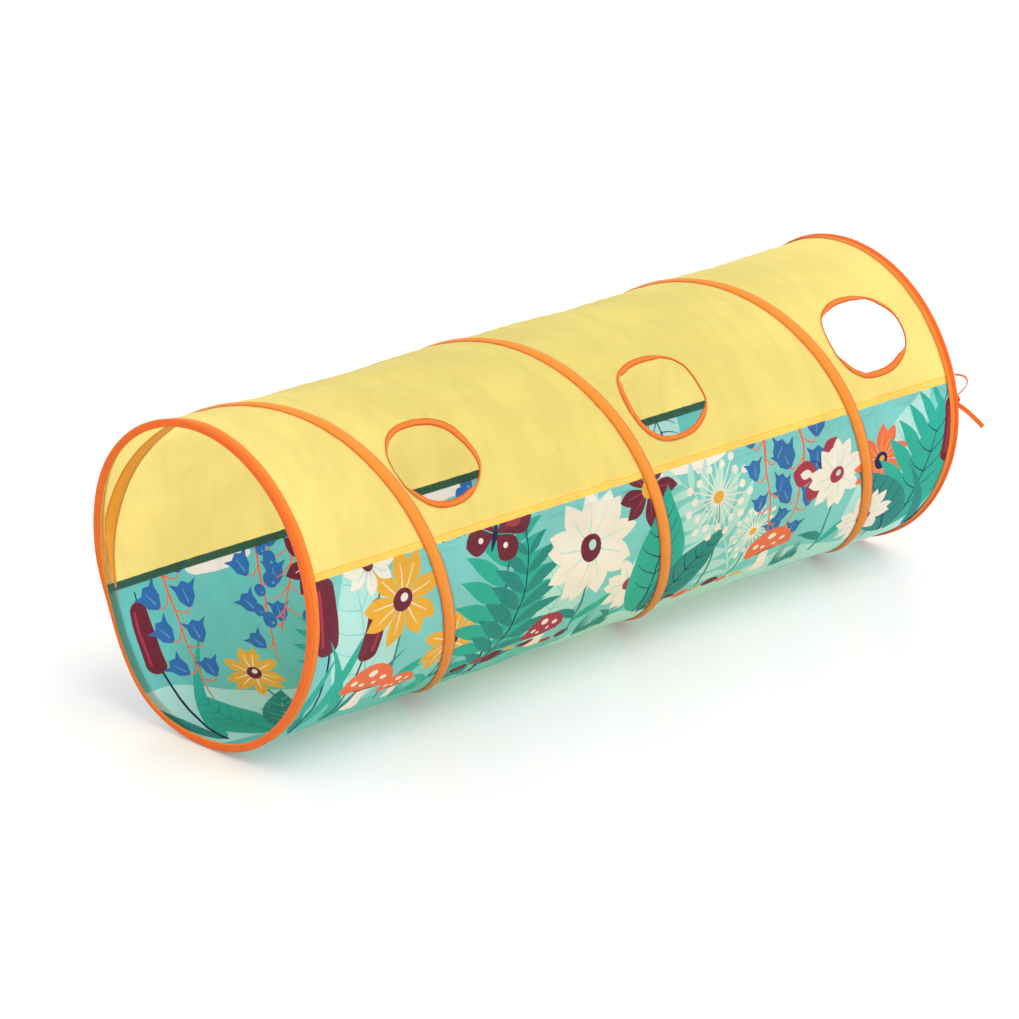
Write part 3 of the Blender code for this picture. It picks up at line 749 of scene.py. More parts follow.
def cut_cloth(shapes, holes, ground, folds_at):
    """Cuts a half of the cloth flat: points (x, distance from its first seam), triangles and inks."""
    columns = round(LENGTH / ROW)
    points, creases = [], []
    for row in range(-ALLOWANCE_ROWS, CLOTH_ROWS + ALLOWANCE_ROWS + 1):
        shift = 0.5 if row % 2 else 0
        inner = [(n + shift) / columns * LENGTH for n in range(1, columns)]
        if row in folds_at:
            creases += [(len(points) + n, len(points) + n + 1) for n in range(len(inner) + 1)]
        points += [Vector((x, row * ROW)) for x in [0, *inner, LENGTH]]
    outlines = []
    low, high = -ALLOWANCE, HALF_WIDTH + ALLOWANCE
    whole = [(0, low), (LENGTH, low), (LENGTH, high), (0, high)]
    for outline in [np.array(whole), *(outline for _, outline in shapes), *holes]:
        after = np.roll(outline, -1, axis=0)
        clockwise = (outline[:, 0] * after[:, 1] - outline[:, 1] * after[:, 0]).sum() < 0
        outlines.append(list(range(len(points), len(points) + len(outline))))
        points += [Vector(point) for point in (outline[::-1] if clockwise else outline)]
    corners, _, triangles, _, _, inside = delaunay_2d_cdt(points, creases, outlines, 0, 1e-6, True)
    palette = [ground, *(ink for ink, _ in shapes)]
    kept, inks = [], []
    for triangle, within in zip(triangles, inside):
        if 0 in within and max(within) < len(palette):
            kept.append(list(triangle))
            inks.append(palette[max(within)])
    return np.array([tuple(corner) for corner in corners]), kept, inks


def cloth_half(name, first_seam, shapes, holes, ground, finish):
    """A half of the cloth tube with its seam allowances on the inside, pressed flat. Each is folded back on
    its own half, but the upper cloth's at the back seam runs on, under the printed cloth's."""
    flat, triangles, inks = cut_cloth(shapes, holes, ground, (0, CLOTH_ROWS))
    triangles = np.array(triangles)
    used, triangles = np.unique(triangles, return_inverse=True)
    flat, triangles = flat[used], triangles.reshape(-1, 3)
    over = np.maximum(-flat[:, 1], flat[:, 1] - HALF_WIDTH)
    runs_on = (flat[:, 1] > HALF_WIDTH) & (not shapes)
    folded = np.where(flat[:, 1] < 0, over, HALF_WIDTH - over)
    across = np.where((over > 0) & ~runs_on, folded, flat[:, 1])
    across = across + (across / HALF_WIDTH - 0.5) * 2 * SEAM_OVERLAP
    angle = first_seam + across / CLOTH_RADIUS
    radius = cloth_radius(flat[:, 0], angle)
    depth = ALLOWANCE_DEPTH * np.where(runs_on, 0.5, 1) * step_up(0, 2 * MM, over)
    loose_edge = LOOSE_EDGE * step_up(0.4, 1, over / ALLOWANCE) * (1 + ripple(flat[:, 0], 33 * MM, 5))
    radius = radius - np.where(over > 0, depth + np.where(runs_on, 0, loose_edge), 0)
    mesh = bpy.data.meshes.new(name)
    mesh.from_pydata(around(flat[:, 0], angle, radius).tolist(), [], triangles.tolist())
    corners = np.zeros(len(mesh.loops), np.int32)
    mesh.loops.foreach_get("vertex_index", corners)
    layer = mesh.uv_layers.new(name="Flat")
    layer.data.foreach_set("uv", flat[corners].astype(np.float32).ravel())
    colours = np.array([(*ink, 1) for ink in inks])
    dye = mesh.color_attributes.new("Dye", "FLOAT_COLOR", "CORNER")
    dye.data.foreach_set("color", np.repeat(colours, 3, axis=0).astype(np.float32).ravel())
    piece = finish_mesh(name, mesh, finish, name.replace("cloth", "panel"))


# Tapes

# Their sections, in millimetres: how far across the tape, and how far out from the coil's radius
RING_TAPE = [(15.0, -0.95), (14.7, -0.4), (11.5, 0.0), (8.0, -0.05), (5.6, -0.5), (4.4, -0.65), (3.4, 0.1),
             (2.2, 1.3), (0.7, 2.05), (-0.8, 2.05), (-2.1, 1.3), (-2.75, -0.2), (-2.9, -2.0), (-2.85, -4.4),
             (-2.5, -6.8), (-1.6, -8.8), (0.0, -9.7), (2.4, -9.5), (5.5, -7.6), (8.5, -5.2), (11.0, -3.4),
             (11.2, -2.9), (8.2, -4.6), (5.2, -6.9), (2.3, -8.8), (0.2, -9.0), (-1.0, -8.2), (-1.9, -6.5),
             (-2.2, -4.3), (-2.25, -2.0), (-2.1, -0.2), (-1.5, 0.9), (-0.3, 1.45), (0.9, 1.35), (2.0, 0.6),
             (3.2, -0.7), (4.8, -1.25), (8.0, -0.75), (12.0, -0.75)]
# Which of the ring tape's points are on its outer face, and which on its leg inside
RING_TAPE_OUTER_FACE = range(11, -1, -1)
RING_TAPE_INNER_LEG = range(12, 30)
RING_TAPE_TOP = 2.05 * MM
RING_TAPE_SIDE = -2.9 * MM
# Where that tape differs round the ring: over the crimp, where its inner leg is pulled in, and over the
# coil's wire
CRIMP_BULGE = 1.2 * MM
CRIMP_SPREAD = 14 * DEGREE
PULLED_IN = 0.95
PULLED_IN_AT = 222 * DEGREE
PULLED_IN_SPREAD = 38 * DEGREE
WIRE_BULGE = 3 * MM
WIRE_BULGE_REACH = 5.5 * MM
INNER_LEG_START = 4 * MM
LEG_UNEVEN = 0.2 * MM
EDGE_UNEVEN = 0.35 * MM
RING_STITCHES = 4.6 * MM
# Painted shade: a redder stretch over the ring's wire
PAINTED_SHADE_OVER_RING_WIRE = (-2.5 * MM, 5 * MM)
# Painted glow: an amber stretch on the inner leg, for light from behind it
PAINTED_GLOW_INSIDE = (-30 * MM, -6 * MM)

COIL_TAPE = [(10.5, -1.95), (10.4, -1.45), (8.4, -0.75), (5.6, 0.25), (3.2, 1.1), (1.1, 1.55), (-1.1, 1.55),
             (-3.2, 1.1), (-5.6, 0.25), (-8.4, -0.75), (-10.4, -1.45), (-10.5, -1.95), (-8.0, -1.35),
             (-5.0, -0.35), (-2.6, 0.7), (-0.9, 1.15), (0.9, 1.15), (2.6, 0.7), (5.0, -0.35), (8.0, -1.35)]
INNER_COIL_TAPE = [(12.0, -2.35), (12.4, -2.6), (12.1, -2.95), (5.0, -3.3), (0.0, -3.45), (-5.0, -3.3),
                   (-12.1, -2.95), (-12.4, -2.6), (-12.0, -2.35), (-5.0, -2.7), (0.0, -2.85), (5.0, -2.7)]
COIL_TAPE_UNEVEN = 0.02
COIL_TAPE_LIFT = 0.12 * MM
CLEAR_OF_RING_TAPE = END_TAPE_WIDTH + 0.3 * MM
COIL_STITCHES_IN = 2.2 * MM
INNER_COIL_STITCHES = 10 * MM


def bump_round(angle, middle, spread, power):
    """1 at the middle, fading to 0 beyond the spread, round the ring."""
    away = np.angle(np.exp(1j * (angle - middle)))
    return np.exp(-((away / spread) ** power))


def ring_tape(name, mouth, inward, crimp, body, node, finish):
    """The tape folded over an end ring: a leg outside, a fold round the wire, and a looser leg inside."""
    outline = np.array(RING_TAPE) * MM
    section = rounded(outline)
    inner = np.isin(np.arange(len(outline)), RING_TAPE_INNER_LEG).astype(float)
    inner = rounded(inner[:, None])[:, 0]
    angle = np.linspace(0, TURN, 520, endpoint=False)[:, None]
    seed = 60 + int(inward)
    fine = sum(np.sin(n * angle + seed * n) for n in (41, 67, 93, 118, 151)) / 3
    slow = sum(np.sin(n * angle + seed * n) for n in (13, 19, 29)) / 2
    leg = np.clip(section[:, 0] / END_TAPE_WIDTH, 0, 1)
    over_crimp = CRIMP_BULGE * bump_round(angle, crimp, CRIMP_SPREAD, 2) * (1 - 0.6 * leg)
    pulled = inner * PULLED_IN * bump_round(angle, PULLED_IN_AT, PULLED_IN_SPREAD, 4)
    beside = wire_beside(mouth, angle)
    away = np.minimum(abs(section[:, 0] - beside) / WIRE_BULGE_REACH, 1)
    face = np.interp(section[:, 0], *outline[RING_TAPE_OUTER_FACE].T)
    over_wire = np.maximum(RING_TAPE_TOP - WIRE_BULGE * away ** 2 - face, 0) * step_up(0, 1.5 * MM, beside)
    lift = (1 - inner) * (LEG_UNEVEN * (1 + fine) * leg + over_crimp + over_wire)
    lift = lift - inner * LEG_UNEVEN * (1 - fine) * leg
    x = section[:, 0] + leg ** 3 * EDGE_UNEVEN * slow - pulled * np.clip(section[:, 0], 0, None)
    depth = section[:, 1] + pulled * np.clip(RING_TAPE_SIDE - section[:, 1], 0, None)
    rings = around(mouth + inward * x, np.broadcast_to(angle, x.shape), COIL_RADIUS + depth + lift)
    across = section[:, 0] * (1 - inner) - (section[:, 0] + INNER_LEG_START) * inner
    mesh = strip_mesh(name, rings, angle * COIL_RADIUS, across, cyclic=True)
    finish_mesh(name, mesh, finish, node, body, shortens=False)


def coil_tape(name, outline, node, finish, outward):
    """A tape along the coil's turns, on one face of the cloth, cut where the end rings' tapes cover it."""
    section = np.array(outline) * MM
    if outward > 0:
        section = rounded(section)
    share = np.linspace(0, 1, 1620)[:, None]
    angle = COIL_START - share * COIL_TURNS * TURN
    along = share * math.hypot(PITCH * COIL_TURNS, TURN * COIL_TURNS * COIL_RADIUS)
    side = section[:, 0] * (1 + COIL_TAPE_UNEVEN * ripple(along, 60 * MM, 71 + outward))
    edge = abs(section[:, 0]) / (COIL_TAPE_WIDTH / 2)
    lift = COIL_TAPE_LIFT * outward * (1 + ripple(along, 15 * MM, 77 + outward)) * step_up(0.45, 1, edge)
    x = coil_place(share * COIL_TURNS) + side * math.cos(LEAN)
    place = angle + side * math.sin(LEAN) / COIL_RADIUS
    rings = around(x, place, COIL_RADIUS + section[:, 1] + lift)
    mesh = strip_mesh(name, rings, along, section[:, 0])
    work = bmesh.new()
    work.from_mesh(mesh)
    for mouth, way in ((NEAR_MOUTH + CLEAR_OF_RING_TAPE, -1), (FAR_MOUTH - CLEAR_OF_RING_TAPE, 1)):
        parts = work.verts[:] + work.edges[:] + work.faces[:]
        cut = bmesh.ops.bisect_plane(work, geom=parts, plane_co=(mouth, 0, 0), plane_no=(way, 0, 0),
                                     clear_outer=True)
        edges = [part for part in cut["geom_cut"] if isinstance(part, bmesh.types.BMEdge)]
        bmesh.ops.holes_fill(work, edges=edges)
    work.to_mesh(mesh)
    work.free()
    finish_mesh(name, mesh, finish, node)


# How wide each peep hole's tape shows: degrees round it from the far side upwards, and millimetres
HOLE_TAPE_WIDTHS = (
    ((0, 9.5), (22, 12), (50, 12), (67, 11.5), (100, 10.5), (126, 9), (145, 5), (156, 2.2), (175, 1.5),
     (203, 1.5), (206, 5.5), (222, 8), (256, 10), (285, 10), (305, 9), (314, 3), (318, 2), (335, 2.2),
     (343, 6), (352, 9)),
    ((0, 2.4), (40, 2.2), (48, 4), (63, 4.6), (66, 8.5), (100, 9), (128, 9.5), (139, 3), (142, 2.5),
     (146, 8), (190, 8.5), (235, 8), (265, 7.5), (295, 8.5), (320, 8.5), (329, 6.5), (332, 2.4)),
    ((0, 1.6), (3, 1.5), (20, 4), (38, 6.5), (41, 4.5), (57, 4), (61, 8.5), (90, 10.5), (120, 9), (139, 3.5),
     (141, 1.5), (198, 1.5), (202, 6), (225, 8), (247, 8), (251, 10.5), (286, 11), (310, 11), (324, 8),
     (326, 1.8), (345, 1.5)))
# Its section: shares of that width in from its outer edge, millimetres beyond them, and lift off the cloth
HOLE_TAPE = [(0, 0, 0.3), (0, 0.1, 0.8), (0, 0.9, 1.15), (0.5, 0, 1.3), (1, -0.9, 1.15), (1, -0.2, 0.75),
             (1, 0, 0), (1, -0.2, -0.75), (1, -0.9, -1.15), (1, -5, -1.3), (1, -9.5, -1.1), (1, -10, -0.7),
             (1, -9.5, -0.4), (1, -5, -0.5), (1, -0.9, -0.4), (0.96, -0.7, 0), (0.5, 0, 0.5)]
HOLE_TAPE_UNDER = 10 * MM
LEAST_HOLE_TAPE_UNDER = 1.2 * MM
HOLE_STITCHES = -2.2 * MM
# Painted shade: a redder stretch round the fold at the hole's edge
PAINTED_SHADE_INSIDE_HOLE = (2 * MM, 9 * MM)


def hole_tape(number, finish):
    """Narrow tape folded over a peep hole's edge by hand: even at its outer edge, uneven at its inner."""
    share, beyond, lift = rounded(HOLE_TAPE).T
    along, up = hole_middle(number)
    turn = np.linspace(0, TURN, 400, endpoint=False)
    wide, reach = tape_width(turn, number)[:, None], tape_reach(turn, number)[:, None]
    under = np.minimum((wide + LEAST_HOLE_TAPE_UNDER) / HOLE_TAPE_UNDER, 1)
    inward = share * wide + beyond * MM * np.where(beyond < 0, under, 1)
    out = reach - inward
    x = along + out * np.cos(turn)[:, None]
    angle = (up + out * np.sin(turn)[:, None]) / CLOTH_RADIUS
    rings = around(x, angle, cloth_radius(x, angle) + lift * MM)
    run = np.cumsum(np.full(len(turn), TURN / len(turn) * (HOLE_LENGTH + HOLE_HEIGHTS[number]) / 4))[:, None]
    name, node = f"peep_hole_tape_{number + 1}", f"window_binding_{number + 1}"
    mesh = strip_mesh(name, rings, run, (inward / wide - 0.5) * HOLE_TAPE_WIDTH, cyclic=True)
    finish_mesh(name, mesh, finish, node)


# The wire and the tie

def wire(finish):
    """The whole coil: near ring, three turns and far ring, its ends beside the rings to their crimps."""
    step = 2.5 * DEGREE
    near = np.arange(0, TURN + CRIMP_OVERLAP, step)
    coil = np.arange(0, COIL_TURNS * TURN, step)
    far = np.arange(0, TURN + CRIMP_OVERLAP + step / 2, step)
    x = [WIRE_BESIDE_WIRE * step_up(TURN - WIRE_SHIFT, TURN, near), coil_place(coil / TURN),
         LENGTH - WIRE_BESIDE_WIRE * (1 - step_up(CRIMP_OVERLAP, CRIMP_OVERLAP + WIRE_SHIFT, far))]
    last = COIL_START - COIL_TURNS * TURN
    angle = np.concatenate([COIL_START + CRIMP_OVERLAP - near, COIL_START - coil, last - far])
    x = np.concatenate(x)
    turn = np.linspace(0, TURN, 8, endpoint=False)
    radius = COIL_RADIUS + WIRE_RADIUS * np.sin(turn)
    rings = around(x[:, None] + WIRE_RADIUS * np.cos(turn), angle[:, None], radius)
    mesh = strip_mesh("spring_wire", rings, -angle[:, None] * COIL_RADIUS, turn * WIRE_RADIUS)
    finish_mesh("spring_wire", mesh, finish, "coil_wire")


def crimp_sleeve(name, mouth, inward, crimp, body, node, finish):
    """A short oval sleeve pressed round an end ring's wire and the wire beside it."""
    turn = np.linspace(0, TURN, 24, endpoint=False)
    angle = crimp + np.linspace(-0.5, 0.5, 7)[:, None] * SLEEVE_LENGTH / COIL_RADIUS
    x = np.where(np.cos(turn) > 0, WIRE_BESIDE_WIRE, 0) + SLEEVE_RADIUS * np.cos(turn)
    rings = around(mouth + inward * x, angle, COIL_RADIUS + SLEEVE_RADIUS * np.sin(turn))
    mesh = strip_mesh(name, rings, angle * COIL_RADIUS, turn * SLEEVE_RADIUS)
    finish_mesh(name, mesh, finish, node, body, shortens=False)


def ribbon(name, line, across, finish, node, width=TIE_WIDTH, thickness=TIE_THICKNESS):
    """A flat woven tape along a line, its width lying across it."""
    way = np.gradient(line, axis=0)
    way /= np.linalg.norm(way, axis=1)[:, None]
    across = np.broadcast_to(np.array(across, float), line.shape)
    across = across - way * (across * way).sum(axis=1)[:, None]
    across /= np.linalg.norm(across, axis=1)[:, None]
    normal = np.cross(way, across)
    run = np.concatenate([[0], np.cumsum(np.linalg.norm(np.diff(line, axis=0), axis=1))])
    section = np.array([(0.5, -0.3), (0.5, 0.3), (0.25, 0.5), (-0.25, 0.5), (-0.5, 0.3), (-0.5, -0.3),
                        (-0.25, -0.5), (0.25, -0.5)]) * (width, thickness)
    rings = line[:, None] + across[:, None] * section[:, :1] + normal[:, None] * section[:, 1:]
    mesh = strip_mesh(name, rings, run[:, None], section[:, 0])
    return finish_mesh(name, mesh, finish, node, "far_end", shortens=False), run[-1]


def tie(finish):
    """A tie tape knotted against the far ring, with a loop back to the ring and a loose tail."""
    low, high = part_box("tie_knot")
    knot = np.array((low + high) / 2)
    turn = np.linspace(0, TURN, 72)
    trefoil = np.stack([np.sin(turn) + 2 * np.sin(2 * turn), np.cos(turn) - 2 * np.cos(2 * turn),
                        -1.4 * np.sin(3 * turn)], axis=1)
    lump, _ = ribbon("tie_tape_knot", knot + trefoil * KNOT_STRETCH, KNOT_ACROSS, finish, "tie_knot",
                     KNOT_TAPE_WIDTH)
    for name, node, way, route, across, thickness, far_end in (
            ("tie_tape_loop", "tie_loop", 1, LOOP_ROUTE, LOOP_ACROSS, LOOP_THICKNESS, "object"),
            ("tie_tape_tail", "tie_tail", -1, TAIL_ROUTE, TAIL_ACROSS, 1.5 * TIE_THICKNESS, "bare")):
        away = KNOT_HEIGHT / 2 + abs(across.z) * TIE_WIDTH / 2 + TIE_THICKNESS / 2
        line = smooth_line(np.array(route) + knot + (0, 0, way * away), 6)
        piece, length = ribbon(name, line, across, finish, node, thickness=thickness)


# Finishes

class Nodes:
    """The nodes of one material or group, added and wired as they are named."""

    def __init__(self, tree):
        self.tree = tree

    def add(self, kind, inputs=None, **settings):
        node = self.tree.nodes.new("ShaderNode" + kind)
        for name, value in settings.items():
            setattr(node, name, value)
        for socket, value in (inputs or {}).items():
            if isinstance(value, bpy.types.NodeSocket):
                self.tree.links.new(value, node.inputs[socket])
            else:
                node.inputs[socket].default_value = value
        return node

    def use(self, group, **inputs):
        return self.add("Group", inputs, node_tree=group).outputs

    def give(self, out, **results):
        for name, value in results.items():
            self.tree.links.new(value, out[name.replace("_", " ")])

    def math(self, operation, *values):
        return self.add("Math", dict(enumerate(values)), operation=operation).outputs[0]

    def vector(self, operation, *values):
        by = 3 if operation == "SCALE" else 1
        return self.add("VectorMath", {0: values[0], by: values[1]}, operation=operation).outputs[0]

    def apart(self, value, other):
        return self.math("ABSOLUTE", self.math("SUBTRACT", value, other))

    def noise(self, place, scale, detail, roughness=0.5):
        return self.add("TexNoise", {"Vector": place, "Scale": scale, "Detail": detail,
                                     "Roughness": roughness}).outputs

    def ramp(self, value, low, high, start=0.0, end=1.0, curve="LINEAR"):
        return self.add("MapRange", {"Value": value, "From Min": low, "From Max": high, "To Min": start,
                                     "To Max": end}, interpolation_type=curve).outputs[0]

    def mixed(self, share, colour, other, blend="MIX"):
        return self.add("Mix", {"Factor": share, "A": colour, "B": (*other, 1)}, data_type="RGBA",
                        blend_type=blend).outputs["Result"]

    def bump(self, height, distance, threads, strength, thread_height):
        """A surface's unevenness over the finer one of its threads."""
        woven = self.add("Bump", {"Height": threads, "Strength": strength, "Distance": thread_height})
        return self.add("Bump", {"Height": height, "Strength": 1.0, "Distance": distance,
                                 "Normal": woven.outputs[0]}).outputs[0]

    def surface(self, shader):
        self.add("OutputMaterial", {"Surface": shader.outputs[0]})

    def cloth(self, colour, through, bump, let_through, roughness, shine, sheen):
        """Cloth that shows the light on its face, and a share of the light from behind it."""
        face = self.add("BsdfPrincipled", {"Base Color": colour, "Roughness": roughness, "Normal": bump,
                                           "Specular IOR Level": shine, "Sheen Weight": sheen[0],
                                           "Sheen Roughness": sheen[1]})
        glow = self.add("BsdfTranslucent", {"Color": through, "Normal": bump})
        self.surface(self.add("MixShader", {0: let_through, 1: face.outputs[0], 2: glow.outputs[0]}))


def new_group(name, sizes, results):
    """A group that takes a place and sizes, and gives values that vary with the place."""
    tree = bpy.data.node_groups.new(name, "ShaderNodeTree")
    tree.interface.new_socket(name="Place", in_out="INPUT", socket_type="NodeSocketVector")
    for label, value in sizes.items():
        socket = tree.interface.new_socket(name=label, in_out="INPUT", socket_type="NodeSocketFloat")
        socket.default_value = value
    for label in results:
        tree.interface.new_socket(name=label, in_out="OUTPUT", socket_type="NodeSocketFloat")
    given, out = tree.nodes.new("NodeGroupInput").outputs, tree.nodes.new("NodeGroupOutput").inputs
    return tree, Nodes(tree), given, out


def crinkle_group():
    """Creases of thin stiff cloth: sharp little ridges over a soft unevenness, and their painted light and
    shade.
    """
    tree, nodes, given, out = new_group("crinkle", {"Size": 0.03}, ["Height", "Shade"])
    scaled = nodes.vector("SCALE", given["Place"], nodes.math("DIVIDE", 1.0, given["Size"]))
    warped = nodes.vector("ADD", scaled, nodes.vector("SCALE", nodes.noise(scaled, 0.8, 2.0)["Color"], 0.5))
    long = nodes.add("Mapping", {"Vector": warped, "Rotation": (0, 0, 0.9), "Scale": (0.8, 0.2, 1.0)})
    ridges = []
    for place, scale in ((long.outputs[0], 1.0), (warped, 0.55)):
        fold = nodes.apart(nodes.noise(place, scale, 1.5, 0.45)["Fac"], 0.5)
        ridge = nodes.math("MAXIMUM", nodes.math("MULTIPLY_ADD", fold, -5.0, 1.0), 0.0)
        ridges.append(nodes.math("POWER", ridge, 2.0))
    parts = [nodes.math("MULTIPLY", ridge, share) for ridge, share in zip(ridges, (0.55, 0.3))]
    height = nodes.math("ADD", *parts)
    soft = nodes.noise(scaled, 0.45, 3.0, 0.55)["Fac"]
    # Shade is painted light and shade: darker along the sharp ridges, lighter and darker with the soft
    # unevenness
    nodes.give(out, Height=nodes.math("ADD", height, soft),
               Shade=nodes.math("MULTIPLY_ADD", ridges[0], -0.2, soft))
    return tree


def weave_group():
    """Plain weave: warp and weft threads over and under each other."""
    tree, nodes, given, out = new_group("plain weave", {"Spacing": 0.0005}, ["Height"])
    spot = nodes.add("SeparateXYZ", {0: given["Place"]}).outputs
    counts = [nodes.math("DIVIDE", spot[n], given["Spacing"]) for n in (0, 1)]
    waves = [nodes.math("SINE", nodes.math("MULTIPLY", count, TURN)) for count in counts]
    nodes.give(out, Height=nodes.math("MULTIPLY_ADD", nodes.math("MULTIPLY", *waves), 0.5, 0.5))
    return tree


def stitch_group():
    """A row of machine stitches at a distance across a tape: the thread, and the groove that it pulls."""
    tree, nodes, given, out = new_group("stitch row", {"Row": 0.0, "Stitch": 0.0028, "Thread": 0.0005},
                                        ["Thread", "Groove"])
    spot = nodes.add("SeparateXYZ", {0: given["Place"]}).outputs
    away = nodes.apart(spot[1], given["Row"])
    share = nodes.math("FRACT", nodes.math("DIVIDE", spot[0], given["Stitch"]))
    dash = nodes.math("LESS_THAN", nodes.apart(share, 0.5), 0.38)
    line = nodes.ramp(nodes.math("DIVIDE", away, given["Thread"]), 0.6, 1.1, 1.0, 0.0)
    nodes.give(out, Thread=nodes.math("MULTIPLY", line, dash),
               Groove=nodes.ramp(away, 0.0, 0.0016, 1.0, 0.0, "SMOOTHSTEP"))
    return tree


def allowance_group():
    """Where the cloth lies double along its seams: the strip, the raw edge that shows through, and the layer
    that is turned in."""
    tree, nodes, given, out = new_group("seam allowance", {"Width": 0.011, "Cut": 1.0},
                                        ["Strip", "Raw edge", "Turned in"])
    spot = nodes.add("SeparateXYZ", {0: given["Place"]}).outputs
    wander = nodes.add("TexNoise", {"W": spot[0], "Scale": 24.0, "Detail": 3.0, "Roughness": 0.65},
                       noise_dimensions="1D").outputs["Fac"]
    width = nodes.math("MULTIPLY_ADD", nodes.math("SUBTRACT", wander, 0.5), 0.007, given["Width"])
    away = nodes.math("MINIMUM", spot[1], nodes.math("SUBTRACT", given["Cut"], spot[1]))
    over = nodes.math("SUBTRACT", away, width)
    strip = nodes.ramp(over, -0.0005, 0.0005, 1.0, 0.0)
    under = nodes.math("LESS_THAN", away, 0.0)
    nodes.give(out, Strip=nodes.math("SUBTRACT", strip, under), Turned_in=under,
               Raw_edge=nodes.ramp(nodes.math("ABSOLUTE", over), 0.0003, 0.0012, 1.0, 0.0))
    return tree


def new_material(name):
    made = bpy.data.materials.new(name)
    made.use_nodes = True
    made.node_tree.nodes.clear()
    return made, Nodes(made.node_tree)


def taffeta(name, groups, crease_height, let_through, lost, filtered, seam, strip, raw_edge_shade, turned_in_shade):
    """Thin crisp cloth, dyed or printed with the colours laid on its mesh. It lets light through, less where
    it lies double, and there painted shade stands for the layer behind, as it shows from outside only: a
    tinted strip and a darker raw edge. The layer that is turned in is darkened with painted shade, and
    painted light and shade follow its creases."""
    crinkle, weave, allowance = groups
    made, nodes = new_material(name)
    place = nodes.add("UVMap", uv_map="Flat").outputs[0]
    colour = nodes.add("Attribute", attribute_name="Dye").outputs["Color"]
    seams = nodes.use(allowance, Place=place, Width=seam[0], Cut=seam[1])
    outside = nodes.math("SUBTRACT", 1.0, nodes.add("NewGeometry").outputs["Backfacing"])
    # Painted shade of the double cloth: the strip and the raw edge seen from outside, and the turned-in layer
    for mask, tint in ((nodes.math("MULTIPLY", seams["Strip"], outside), strip),
                       (nodes.math("MULTIPLY", seams["Raw edge"], outside), raw_edge_shade),
                       (seams["Turned in"], turned_in_shade)):
        colour = nodes.mixed(mask, colour, tint, "MULTIPLY")
    double = nodes.math("MAXIMUM", seams["Strip"], seams["Turned in"])
    creases = nodes.use(crinkle, Place=place, Size=0.05)
    threads = nodes.use(weave, Place=place, Spacing=0.0006)
    # The creases' painted light and shade scale the cloth's colour
    colour = nodes.vector("SCALE", colour, nodes.ramp(creases["Shade"], 0.3, 0.7, 0.93, 1.04))
    bump = nodes.bump(creases["Height"], crease_height, threads["Height"], 0.06, 0.0001)
    nodes.cloth(colour, nodes.vector("MULTIPLY", colour, filtered), bump,
                nodes.math("MULTIPLY_ADD", double, -lost, let_through), 0.62, 0.28, (0.12, 0.5))
    return made


def tape_finish(name, weave, stitches, colour, half, rows, deep=None, inside=None, let_through=0.38):
    """Woven orange tape that lets a little light through, with painted shade at its edges and in the grooves
    of its rows of stitching. Two stretches across it differ: deep is redder with painted shade, and inside is
    amber with a painted glow of the light that comes from behind."""
    made, nodes = new_material(name)
    place = nodes.add("UVMap", uv_map="Flat").outputs[0]
    across = nodes.add("SeparateXYZ", {0: place}).outputs[1]
    drawn_out = nodes.add("Mapping", {"Vector": place, "Scale": (0.12, 1.0, 1.0)}).outputs[0]
    shade = nodes.ramp(nodes.noise(drawn_out, 420.0, 3.0, 0.6)["Fac"], 0.3, 0.7, 0.92, 1.06)
    tint = (*colour, 1)
    # deep is a redder stretch of painted shade; inside is an amber stretch of painted glow
    for stretch, other in ((deep, RED_ORANGE), (inside, AMBER_ORANGE)):
        if stretch:
            middle, reach = sum(stretch) / 2, abs(stretch[1] - stretch[0]) / 2
            mask = nodes.ramp(nodes.apart(across, middle), reach + MM, reach - MM, curve="SMOOTHSTEP")
            tint = nodes.mixed(mask, tint, other)
            if stretch is inside:
                let_through = nodes.math("MULTIPLY_ADD", mask, -0.3, let_through)
    # Painted shade darkens the tape towards its edges
    from_edge = nodes.apart(nodes.math("ABSOLUTE", across), half)
    edge = nodes.ramp(from_edge, 2.0 * MM, 0.6 * MM, 0.0, 0.8, "SMOOTHSTEP")
    tint = nodes.mixed(edge, tint, PAINTED_SHADE_ORANGE)
    height = nodes.math("MULTIPLY", edge, -0.2)
    # Each row of stitching: painted shade in the groove it pulls, and the thread and groove as bumps
    for row in rows:
        found = nodes.use(stitches, Place=place, Row=row)
        tint = nodes.mixed(nodes.math("MULTIPLY", found["Groove"], 0.3), tint, PAINTED_SHADE_ORANGE)
        height = nodes.math("MULTIPLY_ADD", found["Groove"], -0.9, height)
        height = nodes.math("MULTIPLY_ADD", found["Thread"], 0.35, height)
    tint = nodes.vector("SCALE", tint, shade)
    threads = nodes.use(weave, Place=place, Spacing=0.0009)
    bump = nodes.bump(height, 0.0004, threads["Height"], 0.18, 0.0002)
    nodes.cloth(tint, tint, bump, let_through, 0.78, 0.2, (0.15, 0.6))
    return made


def steel(name, colour, roughness):
    """Drawn or pressed steel, a little uneven in its shine."""
    made, nodes = new_material(name)
    noise = nodes.noise(nodes.add("NewGeometry").outputs["Position"], 400.0, 3.0)["Fac"]
    shine = nodes.ramp(noise, 0.0, 1.0, roughness - 0.1, roughness + 0.12)
    nodes.surface(nodes.add("BsdfPrincipled", {"Base Color": (*colour, 1), "Metallic": 1.0,
                                               "Roughness": shine}))
    return made


# The floor, the light and the camera

